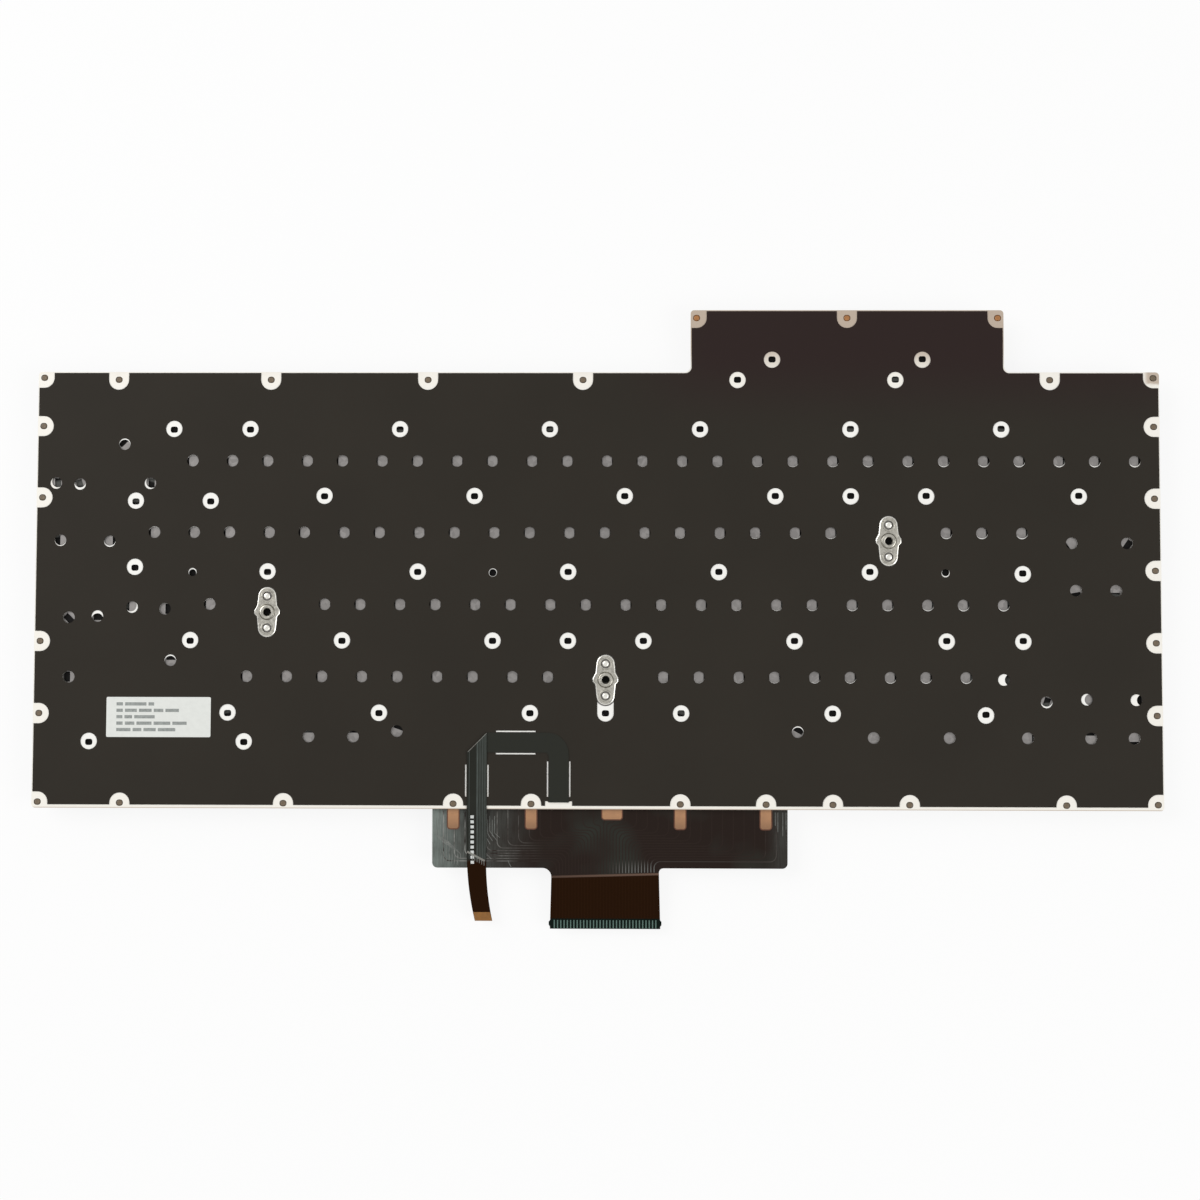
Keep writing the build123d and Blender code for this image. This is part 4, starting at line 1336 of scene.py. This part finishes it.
class KEYBOARD_OT_brackets(bpy.types.Operator):
    """Make the three threaded screw brackets and their rivets"""

    bl_idname = "keyboard.brackets"
    bl_label = "Screw Brackets"

    def execute(self, context):
        steel = context.scene.keyboard_steel
        colours = context.scene.keyboard_finishes
        finish = nickel_steel("nickel_plated_steel_stamped", colours.bracket, 0.55, 1.2)
        # A lit copy of the steel: painted highlight on the rounded edges and the rivet heads.
        highlight_steel = nickel_steel("nickel_plated_steel_painted_highlight", colours.highlight_steel, 0.75, 1.05)
        low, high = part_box("nut_brackets")
        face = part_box("bracket_rivets")[0].z
        bodies, edges, rivets = [], [], []
        for middle in bracket_places():
            outline = bracket_outline(steel, middle, -steel.edge_round)
            ends = [middle + Vector((0, way * steel.rivet_offset)) for way in (-1, 1)]
            holes = [circle(place, steel.pad_radius, steel.pad_radius, SEAT_SIDES) for place in ends]
            holes.append(circle(middle, steel.boss_seat, steel.boss_seat, BOSS_SIDES))
            plan = film_mesh("bracket_plan", [outline] + holes, low.z, face)
            bodies.append(([v.co.copy() for v in plan.vertices], [list(p.vertices) for p in plan.polygons]))
            bpy.data.meshes.remove(plan)
            bodies.append(self.boss(steel, middle, low.z, face, high.z))
            edges.append(self.edge(steel, middle, low.z, face))
            for place in ends:
                bodies.append(self.pad(steel, place, low.z, face))
                rivets.append(self.rivet(steel, place, face))
        stands_for = ["nut_brackets"]
        joined_piece(
            "nut_bracket_stampings", bodies, finish, "bracket_steel", stands_for=stands_for, smooth=35
        )
        joined_piece("nut_bracket_edges", edges, highlight_steel, "bracket_steel", stands_for=stands_for, smooth=50)
        stands_for = ["bracket_rivets"]
        joined_piece(
            "bracket_rivet_heads", rivets, highlight_steel, "bracket_steel", stands_for=stands_for, smooth=50
        )
        return {"FINISHED"}

    def edge(self, steel, middle, low, face):
        """The rounded rim of a stamping, which takes the painted highlight."""
        reach = steel.edge_round
        levels = [(-reach, low), (0, low), (0, face - 0.75 * reach)]
        levels += [(-0.3 * reach, face - 0.3 * reach), (-reach, face)]
        rings = [at_height(bracket_outline(steel, middle, growth), z) for growth, z in levels]
        return loft(rings, closed=True)

    def boss(self, steel, middle, low, face, high):
        """A drawn collar with a groove round its foot and a cut thread inside it."""
        radius, bore, seat = steel.boss_radius, steel.bore_radius, steel.boss_seat
        outside = [(seat, low), (seat, face - 0.04 * MM), (radius + 0.12 * MM, face - 0.16 * MM)]
        outside += [(radius, face - 0.08 * MM), (radius, high - 0.3 * MM)]
        outside += [(radius - 0.08 * MM, high - 0.1 * MM), (radius - 0.3 * MM, high)]
        outside.append((bore + 0.25 * MM, high - 0.02 * MM))
        rings = [at_height(circle(middle, r, r, BOSS_SIDES), z) for r, z in outside]
        top, levels, taper = high - 0.12 * MM, 24, 0.1
        for level in range(levels + 1):
            z = top - (top - low) * level / levels
            ring = []
            for k in range(BOSS_SIDES):
                phase = (z / steel.thread_pitch + k / BOSS_SIDES) % 1
                r = bore * (1 - taper * level / levels) + steel.thread_depth * abs(2 * phase - 1)
                turn = 2 * math.pi * k / BOSS_SIDES
                ring.append(Vector((middle.x + r * math.cos(turn), middle.y + r * math.sin(turn), z)))
            rings.append(ring)
        return loft(rings, closed=True)

    def pad(self, steel, place, low, face):
        """A dished seat round a rivet, with a dark gap between the two."""
        r, gap, dish = steel.pad_radius, steel.rivet_radius + 0.24 * MM, 0.12 * MM
        profile = [(r, low), (r, face - 0.02 * MM), (r - dish, face - dish)]
        profile += [(gap + dish, face - dish), (gap, face - 0.3 * MM), (gap, low)]
        return turned(place, profile, SEAT_SIDES, closed=True)

    def rivet(self, steel, place, face):
        """A peened rivet head with a small flat."""
        r = steel.rivet_radius
        profile = [(r * 0.9, face - 0.5 * MM), (r, face - 0.02 * MM), (r * 0.97, face + 0.14 * MM)]
        profile += [(r * 0.85, face + 0.22 * MM), (r * 0.6, face + 0.28 * MM), (r * 0.3, face + 0.3 * MM)]
        return turned(place, profile, RIVET_SIDES)


class KEYBOARD_OT_main_flex(bpy.types.Operator):
    """Make the main flex with its traces, windows, contacts and stiffener"""

    bl_idname = "keyboard.main_flex"
    bl_label = "Main Flex"

    def execute(self, context):
        flex, colours = context.scene.keyboard_flex, context.scene.keyboard_finishes
        low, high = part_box("main_flex")
        tail_left = flex.tail_middle - flex.tail_half
        tail_right = flex.tail_middle + flex.tail_half
        end_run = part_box("main_flex_stiffener")
        corners = [(low.x, flex.wide_end), (tail_left, flex.wide_end), (tail_left - flex.tail_flare, low.y)]
        corners += [(tail_right + flex.tail_flare, low.y), (tail_right, flex.wide_end)]
        corners += [(high.x, flex.wide_end), (high.x, high.y), (low.x, high.y)]
        corners = [Vector(corner) for corner in corners]
        cut, step = 0.1 * MM, 1.1 * MM
        radii = [flex.wide_corner, flex.tail_fillet, cut, cut, step, flex.wide_corner, 0, 0]
        drop = high.z - flex.film
        run = [(high.y + 1 * MM, drop), (flex.sheet_edge, drop)]
        run += [(flex.wide_end, drop - 0.5 * MM), (low.y, low.z)]
        bend = (run, 1.6 * MM)
        sheet = draped(film_mesh("main_flex_film", [rounded(corners, radii)], 0, flex.film), *bend)
        # Where the grey painted sheen, partly wear, begins and is full along X, in millimetres, and its share
        greys = [(-14, -28, 0.22), (-29, -41, 1.0), (42, 47, 0.15)]
        browned = (flex.main_crease / MM + 0.1, flex.main_crease / MM - 0.3)
        finish = flex_film(
            colours, "dark_polyimide_flex_laminated", colours.flex, greys, browned,
            flex.crease_slope, flex.main_crease,
        )
        piece("main_flex_film", sheet, finish, "flex_film", ["main_flex"], smooth=40)
        layer = flex.print_rise
        rise = flex.film + layer
        traces = self.traces(flex, low, high, rise)
        printed("main_flex_traces", traces, bend, trace_print(colours), "flex_film")
        streaks = self.streaks(flex, low, high, rise + layer / 2)
        printed("main_flex_streaks", streaks, bend, track_sheen(colours), "flex_film")
        # Painted shadow: brown frames under the amber windows, grown below and beside them.
        rims = self.windows(flex, low, high, flex.window_rim, rise + layer)
        printed("main_flex_window_shadows", rims, bend, window_shadow(colours), "flex_film")
        windows = self.windows(flex, low, high, 0, rise + 2 * layer)
        printed("main_flex_windows", windows, bend, amber_film(colours), "flex_film")
        fingers = self.fingers(flex, end_run, rise + layer)
        printed("main_flex_fingers", fingers, bend, contact_carbon(colours), "stiffener_film")
        strip = self.stiffener(flex, end_run, bend)
        stands_for = ["main_flex_stiffener"]
        piece("main_flex_contact_strip", strip, stiffener_film(colours), "stiffener_film", stands_for)
        return {"FINISHED"}

    def traces(self, flex, low, high, rise):
        """Printed lines that run down, along to the tail and down it, nested so that none cross."""
        shapes = []
        count = flex.finger_count
        crease_gap = 0.45 * MM
        for k in range(count):
            share = (k + 0.5) / count
            top_x = low.x + 1.5 * MM + (high.x - low.x - 3 * MM) * share
            tail_x = flex.tail_middle + (flex.tail_half - 0.8 * MM) * (2 * share - 1)
            nest = abs(2 * share - 1)
            run_y = flex.sheet_edge - 3 * MM - nest * 10.4 * MM
            corners = [Vector((top_x, flex.sheet_edge)), Vector((top_x, run_y)), Vector((tail_x, run_y))]
            crease = flex.main_crease + flex.crease_slope * tail_x
            corners.append(Vector((tail_x, crease + crease_gap)))
            radius = min(1.6 * MM, abs(top_x - tail_x) * 0.45)
            path = [corners[0]]
            for i in (1, 2):
                path += corner_arc(corners[i - 1], corners[i], corners[i + 1], radius, 6)
            path.append(corners[3])
            shapes.append(ribbon(path, flex.trace, rise))
            below = [Vector((tail_x, crease - crease_gap)), Vector((tail_x, low.y + 2.4 * MM))]
            shapes.append(ribbon(below, flex.trace, rise))
        return shapes

    def streaks(self, flex, low, high, rise):
        """Tracks picked out by painted sheen, partly wear: bent at the left and beside the strip, short
        below, straight at the right.
        """
        edge = flex.sheet_edge / MM
        left, right = low.x / MM, high.x / MM
        paths = []
        for k in range(7):
            x, knee, shift = left + 0.5 + 0.55 * k, edge - 6.2 - 0.3 * k, 2.4 + 0.15 * k
            top, end = edge - 0.8 - 1.3 * (k % 2), knee - shift - 1.2 - k % 3
            paths.append([(x, top), (x, knee), (x + shift, knee - shift), (x + shift, end)])
            foot, top = left + 2.1 + 0.7 * k, edge - 10.2 - 0.5 * (k % 3)
            paths.append([(foot, top), (foot + 0.2, edge - 12), (foot - 0.1, edge - 14)])
        for k in range(5):
            x, knee = left + 13.3 + 0.6 * k, edge - 6.6 + 0.5 * (k % 3)
            paths.append([(x, edge - 1.8 - 0.9 * (k % 2)), (x, knee), (x + 1.3, knee - 2.3 + 0.3 * k)])
        paths.append([(left + 13.2, edge - 10.8), (left + 14.9, edge - 12.6)])
        paths.append([(left + 19.1, edge - 12.9), (left + 19.4, edge - 13.7), (left + 19.9, edge - 14.6)])
        for x, end in ((3.1, 4), (2.45, 5.6), (1.2, 6.6), (0.4, 5)):
            paths.append([(right - x, edge - 0.7), (right - x, edge - end)])
        return [ribbon([Vector(place) * MM for place in path], flex.streak, rise) for path in paths]

    def windows(self, flex, low, high, growth, rise):
        """Windows below the edge tabs and a short wide one in the middle, grown but for their top."""
        front = [tab for tab in tab_places() if tab.y < flex.sheet_edge + 4 * MM and low.x < tab.x < high.x]
        sizes = [(tab.x, flex.window_wide, flex.window_deep) for tab in front]
        sizes.append((flex.tail_middle + flex.middle_offset, flex.middle_wide, flex.middle_deep))
        shapes = []
        for x, wide, deep in sizes:
            half = wide / 2 + growth
            foot = flex.sheet_edge - deep - growth
            corners = box_outline((x - half, foot), (x + half, flex.sheet_edge + 0.4 * MM))
            shapes.append(patch(rounded(corners, [0.6 * MM + growth] * 2 + [0, 0], 5), rise))
        return shapes

    def fingers(self, flex, strip, rise):
        """A row of contacts across the end of the tail."""
        shapes = []
        wide = 2 * flex.tail_half - 0.6 * MM
        pitch = wide / flex.finger_count
        for k in range(flex.finger_count):
            x = flex.tail_middle - wide / 2 + pitch * (k + 0.5)
            half = pitch * flex.finger_half
            corners = box_outline((x - half, strip[0].y + 0.1 * MM), (x + half, strip[1].y - 0.4 * MM))
            shapes.append(patch(corners, rise))
        return shapes

    def stiffener(self, flex, strip, bend):
        """The strip that wraps the end of the tail, with an ear at each side."""
        low, high = strip
        middle_y = (low.y + high.y) / 2
        ear_low, ear_high = middle_y - 0.3 * MM, middle_y + 0.5 * MM
        left, right = flex.tail_middle - flex.tail_half, flex.tail_middle + flex.tail_half
        corners = [(left, low.y), (right, low.y), (high.x, ear_low), (high.x, ear_high)]
        corners += [(right, high.y), (left, high.y), (low.x, ear_high), (low.x, ear_low)]
        outline = rounded([Vector(corner) for corner in corners], [0.2 * MM] * 8, 3)
        top = flex.film + flex.print_rise
        return draped(film_mesh("main_flex_contact_strip", [outline], -flex.backing_film, top), *bend)


class KEYBOARD_OT_backlight_flex(bpy.types.Operator):
    """Make the folded backlight flex with its plain marks and contact end"""

    bl_idname = "keyboard.backlight_flex"
    bl_label = "Backlight Flex"

    def execute(self, context):
        flex, colours = context.scene.keyboard_flex, context.scene.keyboard_finishes
        films = context.scene.keyboard_films
        low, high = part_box("backlight_flex")
        end_low, end_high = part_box("backlight_stiffener")
        width, end_width = flex.strip_width, end_high.x - end_low.x
        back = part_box("backing_film")[1].z
        turn_y = high.y
        browned = (flex.crease / MM + 0.6, flex.crease / MM - 0.6)
        middle = (low.x + flex.strip_width / 2) / MM
        finish = flex_film(colours, "dark_polyimide_flex_tucked", colours.strip, [], browned)
        start_y = flex.sheet_edge + films.entry_depth
        under = [(high.x - width, start_y), (high.x, start_y), (high.x, turn_y), (low.x + width, turn_y)]
        under += [(low.x, turn_y - width), (high.x - width, turn_y - width)]
        radii = [0.1 * MM, 0.1 * MM, flex.strip_corner, 0, 0, 1.0 * MM]
        outline = rounded([Vector(place) for place in under], radii, 10)
        first = film_mesh("backlight_flex_run", [outline], back, back + flex.film)
        piece("backlight_flex_run", first, finish, "flex_film", ["backlight_flex"])
        over = [(low.x, low.y), (low.x + end_width, low.y), (low.x + width, flex.crease + 6 * MM)]
        over += [(low.x + width, turn_y), (low.x, turn_y - width)]
        second = film_mesh("backlight_flex_tail", [[Vector(place) for place in over]], 0, flex.film)
        run = self.run(flex, low, back, turn_y, width)
        bend = (run, 1.2 * MM, end_low.x - low.x, flex.sheet_edge - 10 * MM)
        sheen = [(middle - 0.4, middle + 0.4, 0.14)]
        base = shade(colours.strip, 0.8)
        finish = flex_film(colours, "dark_polyimide_flex_folded", base, sheen, browned)
        tail = draped(second, *bend)
        piece("backlight_flex_tail", tail, finish, "flex_film", ["backlight_flex"], smooth=40)
        lines = self.lines(flex, low, turn_y)
        printed("backlight_flex_lines", lines, bend, strip_lines(colours), "flex_film")
        creases = self.creases(flex, low, turn_y)
        printed("backlight_flex_creases", creases, bend, crease_shine(colours), "flex_film")
        printed("backlight_flex_marks", self.marks(flex, low), bend, mark_ink(colours), "flex_film")
        end = box_outline((low.x + 0.05 * MM, low.y), (low.x + end_width - 0.05 * MM, end_high.y))
        top = flex.film + flex.print_rise
        contact = draped(film_mesh("backlight_flex_contacts", [end], -flex.backing_film, top), *bend)
        stands_for = ["backlight_stiffener"]
        piece("backlight_flex_contacts", contact, bare_end(colours), "stiffener_film", stands_for)
        return {"FINISHED"}

    def lines(self, flex, low, turn_y):
        """Tracks that show as lengthwise lines from the fold to the crease."""
        rise = flex.film + flex.print_rise
        shapes = []
        # Where each line lies across the strip, as a share of its width, and its width in millimetres
        for share, width in ((0.12, 0.11), (0.52, 0.26), (0.66, 0.11), (0.79, 0.11), (0.91, 0.11)):
            x = low.x + flex.strip_width * share
            top = turn_y - flex.strip_width * (1 - share) - 0.3 * MM
            shapes.append(ribbon([Vector((x, top)), Vector((x, flex.crease + 0.4 * MM))], width * MM, rise))
        return shapes

    def creases(self, flex, low, turn_y):
        """Painted highlights: fine bright lines along the fold and across the crease."""
        rise = flex.film + 2 * flex.print_rise
        left, right = low.x, low.x + flex.strip_width
        fold_low = turn_y - flex.strip_width + 0.1 * MM
        fold = [Vector((left + 0.2 * MM, fold_low)), Vector((right - 0.1 * MM, turn_y - 0.2 * MM))]
        across = [Vector((left + 0.1 * MM, flex.crease + 2.2 * MM))]
        across.append(Vector((right - 0.5 * MM, flex.crease - 0.1 * MM)))
        shapes = [ribbon(fold, 0.14 * MM, rise), ribbon(across, 0.5 * MM, rise)]
        for k in range(6):
            start = across[0].lerp(across[1], 0.3 + 0.13 * k)
            shapes.append(ribbon([start, start - Vector((0, 1.3 * MM))], 0.13 * MM, rise))
        return shapes

    def run(self, flex, low, back, turn_y, width):
        """Heights down the free run: off the fold, along the film, over its edge and down to the end."""
        edge = flex.sheet_edge
        run = [(turn_y + 1 * MM, back + flex.film), (turn_y - width, back + flex.film)]
        run += [(turn_y - width - 2 * MM, back), (edge - 0.3 * MM, back), (edge - 5 * MM, back - 1.02 * MM)]
        run += [(flex.crease, back - 1.3 * MM), (low.y, low.z)]
        return run

    def marks(self, flex, low):
        """Small plain dashes where the flex carries print."""
        shapes = []
        x, half = low.x + 1.35 * MM, flex.mark_wide / 2
        rise = flex.film + flex.print_rise
        for k in range(flex.mark_count):
            y = flex.sheet_edge - 1.6 * MM - k * flex.mark_pitch
            shapes.append(patch(box_outline((x - half, y - flex.mark_tall), (x + half, y)), rise))
        return shapes


class KEYBOARD_OT_label(bpy.types.Operator):
    """Make the paper label with plain grey lines"""

    bl_idname = "keyboard.label"
    bl_label = "Label"

    # Lengths in millimetres of the grey dashes in each line, chosen to break the lines up.
    LINES = [
        [1.6, 5.4, 1.4],
        [1.6, 3.0, 3.2, 2.4, 3.4],
        [1.5, 1.9, 5.2],
        [1.6, 2.4, 3.8, 4.2, 3.6],
        [3.6, 2.2, 3.1, 4.4],
    ]

    def execute(self, context):
        flex, colours = context.scene.keyboard_flex, context.scene.keyboard_finishes
        low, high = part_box("label")
        outline = rounded(box_outline(low.xy, high.xy), [0.35 * MM] * 4, 4)
        sheet_piece("label", [outline], label_paper(colours), "label_paper")
        shapes = []
        half, rise = flex.line_height / 2, high.z + flex.print_rise
        for row, dashes in enumerate(self.LINES):
            y = high.y - flex.line_top - row * flex.line_pitch
            x = low.x + flex.line_margin
            for dash in dashes:
                shapes.append(patch(box_outline((x, y - half), (x + dash * MM, y + half)), rise))
                x += dash * MM + flex.line_gap
        joined_piece("label_lines", shapes, label_ink(colours), "label_paper")
        return {"FINISHED"}


class KEYBOARD_OT_keycaps(bpy.types.Operator):
    """Make the hollow, dished keycaps, each on its own key where the key travels"""

    bl_idname = "keyboard.keycaps"
    bl_label = "Keycaps"

    def execute(self, context):
        keys = context.scene.keyboard_keys
        finish = cap_plastic(context.scene.keyboard_finishes)
        for body, _, box in moving_keys():
            mesh = joined(body + "_cap", [self.cap(keys, box)])
            piece(body + "_cap", mesh, finish, "keycap_plastic", [body], body, smooth=35)
        fixed = [self.cap(keys, box) for box in solids("fixed_keycaps")]
        stands_for = ["fixed_keycaps"]
        joined_piece("fixed_caps", fixed, finish, "keycap_plastic", stands_for=stands_for, smooth=35)
        return {"FINISHED"}

    def cap(self, keys, box):
        """A hollow cap: its face is at the box's floor, and its skirt at the top."""
        low, high = box
        skirt, inner, lip = high.z, keys.wall, 0.15 * MM
        levels = [(inner + keys.draft * 0.6, low.z + keys.roof), (inner, skirt - 0.1 * MM)]
        levels += [(inner - lip, skirt), (lip, skirt), (0.0, skirt - lip)]
        levels.append((keys.draft * 0.75, low.z + keys.edge))
        for step in (1, 2, 3):
            turn = math.pi / 2 * step / 3
            inset = keys.draft * 0.75 + keys.edge * (1 - math.cos(turn))
            levels.append((inset, low.z + keys.edge * (1 - math.sin(turn))))
        rings = [self.level(keys, low, high, inset, z) for inset, z in levels]
        face = rings[-1]
        middle = sum(face, Vector()) / len(face)
        for share in (0.9, 0.7, 0.45, 0.2):
            height = low.z + keys.dish * (1 - share ** 2)
            rings.append(at_height([middle.lerp(point, share) for point in face], height))
        return loft(rings)

    def level(self, keys, low, high, inset, z):
        """One rounded outline of the cap at a height."""
        corners = box_outline((low.x + inset, low.y + inset), (high.x - inset, high.y - inset))
        radius = max(keys.corner - inset * 0.6, 0.4 * MM)
        return at_height(rounded(corners, [radius] * 4, 5), z)


class KEYBOARD_OT_domes(bpy.types.Operator):
    """Make the rubber domes, one piece under each key that travels and one piece for the rest"""

    bl_idname = "keyboard.domes"
    bl_label = "Rubber Domes"

    def execute(self, context):
        keys = context.scene.keyboard_keys
        finish = dome_rubber(context.scene.keyboard_finishes)
        boxes = solids("rubber_domes")
        low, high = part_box("rubber_domes")
        for body, joint, box in moving_keys():
            nearest = min(boxes, key=lambda dome: (middle_of(dome).xy - middle_of(box).xy).length)
            boxes.remove(nearest)
            place = middle_of(nearest).xy
            mesh = joined(body + "_dome", [self.dome(keys, place, low.z, high.z)])
            dome = piece(body + "_dome", mesh, finish, "dome_rubber", ["rubber_domes"], smooth=40)
            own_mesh(dome)
        rest = [self.dome(keys, middle_of(box).xy, low.z, high.z) for box in boxes]
        stands_for = ["rubber_domes"]
        joined_piece("fixed_domes", rest, finish, "dome_rubber", stands_for=stands_for, smooth=40)
        return {"FINISHED"}

    def dome(self, keys, place, low, high):
        """A bell on a thin flange, with a dimpled tip."""
        tip, base = keys.dome_tip, keys.dome_base
        profile = [(base, high), (base, high - 0.25 * MM), (base * 0.93, high - 0.3 * MM)]
        profile += [(base * 0.9, high - 0.9 * MM), (base * 0.84, high - 1.35 * MM)]
        profile += [(tip * 1.04, low + 0.9 * MM), (tip, low + 0.25 * MM), (tip * 0.93, low + 0.05 * MM)]
        profile += [(tip * 0.8, low), (tip * 0.5, low), (tip * 0.4, low + 0.2 * MM)]
        return turned(place, profile, DOME_SIDES)


class KEYBOARD_OT_scissors(bpy.types.Operator):
    """Make the pairs of scissor levers, one piece for each key that travels and one piece for the rest"""

    bl_idname = "keyboard.scissors"
    bl_label = "Scissor Levers"

    def execute(self, context):
        keys = context.scene.keyboard_keys
        finish = lever_acetal(context.scene.keyboard_finishes)
        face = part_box("membrane_circuit")[0].z
        for body, joint, box in moving_keys():
            mesh = joined(body + "_levers", self.pair(keys, box, face))
            levers = piece(body + "_levers", mesh, finish, "keycap_plastic", smooth=35)
            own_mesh(levers)
        shapes = [shape for box in solids("fixed_keycaps") for shape in self.pair(keys, box, face)]
        joined_piece("fixed_levers", shapes, finish, "keycap_plastic", smooth=35)
        return {"FINISHED"}

    def pair(self, keys, box, face):
        """Two tilted frames that cross at their middles."""
        low, high = box
        middle = middle_of(box)
        half_y = (high.y - low.y) / 2 - keys.lever_end
        outer_x = min((high.x - low.x) / 2 - keys.lever_side, keys.lever_half)
        inner_x = outer_x - keys.lever_bar - 0.25 * MM
        under = low.z + keys.roof + keys.lever_thick * 0.6
        over = face - keys.lever_thick * 0.6
        shapes = []
        for half_x, lean in ((outer_x, 1), (inner_x, -1)):
            rings = []
            bar, thick = keys.lever_bar, keys.lever_thick / 2
            for inset, offset in ((0, thick), (0, -thick), (bar, -thick), (bar, thick)):
                far = (half_x - inset, half_y - inset)
                corners = box_outline((-far[0], -far[1]), far)
                ring = []
                for point in rounded(corners, [max(0.9 * MM - inset * 0.6, 0.2 * MM)] * 4, 3):
                    share = 0.5 + lean * point.y / half_y / 2
                    height = under + (over - under) * share + offset
                    ring.append(Vector((middle.x + point.x, middle.y + point.y, height)))
                rings.append(ring)
            shapes.append(loft(rings, closed=True))
        return shapes


class KEYBOARD_OT_stage(bpy.types.Operator):
    """Set the floor, the soft lights and the photograph's camera"""

    bl_idname = "keyboard.stage"
    bl_label = "Studio"

    # Places and width of the square lights, in metres
    KEY_PLACE = (-0.85, 0.45, 0.65)
    FILL_PLACE = (0.95, -0.35, 0.6)
    LIGHT_WIDTH = 0.8

    def execute(self, context):
        stage, colours = context.scene.keyboard_stage, context.scene.keyboard_finishes
        self.floor(colours)
        self.sky(context, stage)
        self.lamp("key_softbox", self.KEY_PLACE, stage.key_power)
        self.lamp("fill_softbox", self.FILL_PLACE, stage.fill_power)
        self.camera(context, stage)
        context.scene.view_settings.view_transform = "Standard"
        return {"FINISHED"}

    def floor(self, colours):
        """A large sheet of pale paper just below the key tops."""
        reach = 4.0
        mesh = joined("floor", [patch(box_outline((-reach, -reach), (reach, reach)), -0.02 * MM)])
        floor = bpy.data.objects.new("floor", mesh)
        bpy.context.scene.collection.objects.link(floor)
        mesh.materials.append(floor_paper(colours))

    def sky(self, context, stage):
        """Even light from all round, and white where the camera or a reflection looks past the floor."""
        world = bpy.data.worlds.new("studio_sky")
        context.scene.world = world
        world.use_nodes = True
        tree = world.node_tree
        tree.nodes.clear()
        seen = white_to_eye(tree)
        even = add_node(tree, "Background", {"Color": (1, 1, 1, 1), "Strength": stage.sky})
        white = add_node(tree, "Background", {"Color": (1, 1, 1, 1), "Strength": 1.0})
        both = add_node(tree, "MixShader", {0: seen, 1: even, 2: white})
        add_node(tree, "OutputWorld", {"Surface": both})

    def lamp(self, name, place, power):
        """A square soft light that points at the keyboard."""
        light = bpy.data.lights.new(name, "AREA")
        light.size = self.LIGHT_WIDTH
        light.energy = power
        lamp = bpy.data.objects.new(name, light)
        lamp.location = place
        lamp.rotation_euler = (-Vector(place)).to_track_quat("-Z", "Y").to_euler()
        lamp.visible_camera = False
        bpy.context.scene.collection.objects.link(lamp)

    def camera(self, context, stage):
        """The photograph's camera, nearly straight above the back."""
        lens = bpy.data.cameras.new("photo_camera")
        lens.lens = stage.lens
        lens.sensor_width = 36
        lens.clip_start = 0.01
        turn = Matrix.Rotation(stage.roll, 3, "Z")
        turn = turn @ Matrix.Rotation(stage.yaw, 3, "Y") @ Matrix.Rotation(stage.pitch, 3, "X")
        back = turn.transposed()
        seat = back @ Vector((-stage.shift_x, -stage.shift_y, stage.distance))
        seat += Vector((0, stage.aim_y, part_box("backing_film")[1].z))
        camera = bpy.data.objects.new("photo_camera", lens)
        camera.matrix_world = Matrix.Translation(seat) @ back.to_4x4()
        context.scene.collection.objects.link(camera)
        context.scene.camera = camera


class KEYBOARD_PT_dresser(bpy.types.Panel):
    """Lists the steps that dress the keyboard, and their sizes and colours"""

    bl_idname = "KEYBOARD_PT_dresser"
    bl_label = "Keyboard"
    bl_space_type = "VIEW_3D"
    bl_region_type = "UI"
    bl_category = "Keyboard"

    def draw(self, context):
        for operator in OPERATORS:
            self.layout.operator(operator.bl_idname)
        for name in GROUPS:
            group = getattr(context.scene, name)
            box = self.layout.box()
            for key in group.bl_rna.properties.keys():
                if key not in ("rna_type", "name"):
                    box.prop(group, key)


GROUPS = {
    "keyboard_films": FilmSizes,
    "keyboard_steel": SteelSizes,
    "keyboard_flex": FlexSizes,
    "keyboard_keys": KeySizes,
    "keyboard_finishes": Finishes,
    "keyboard_stage": StageSizes,
}
OPERATORS = [
    KEYBOARD_OT_backing_film,
    KEYBOARD_OT_reflector_film,
    KEYBOARD_OT_light_guide,
    KEYBOARD_OT_support_plate,
    KEYBOARD_OT_membrane,
    KEYBOARD_OT_brackets,
    KEYBOARD_OT_main_flex,
    KEYBOARD_OT_backlight_flex,
    KEYBOARD_OT_label,
    KEYBOARD_OT_keycaps,
    KEYBOARD_OT_domes,
    KEYBOARD_OT_scissors,
    KEYBOARD_OT_stage,
]


def register():
    for name, group in GROUPS.items():
        bpy.utils.register_class(group)
        setattr(bpy.types.Scene, name, PointerProperty(type=group))
    for operator in OPERATORS:
        bpy.utils.register_class(operator)
    bpy.utils.register_class(KEYBOARD_PT_dresser)


def unregister():
    bpy.utils.unregister_class(KEYBOARD_PT_dresser)
    for operator in reversed(OPERATORS):
        bpy.utils.unregister_class(operator)
    for name, group in GROUPS.items():
        delattr(bpy.types.Scene, name)
        bpy.utils.unregister_class(group)


def main():
    register()
    bpy.ops.keyboard.backing_film()
    bpy.ops.keyboard.reflector_film()
    bpy.ops.keyboard.light_guide()
    bpy.ops.keyboard.support_plate()
    bpy.ops.keyboard.membrane()
    bpy.ops.keyboard.brackets()
    bpy.ops.keyboard.main_flex()
    bpy.ops.keyboard.backlight_flex()
    bpy.ops.keyboard.label()
    bpy.ops.keyboard.keycaps()
    bpy.ops.keyboard.domes()
    bpy.ops.keyboard.scissors()
    bpy.ops.keyboard.stage()


if __name__ == "__main__":
    main()
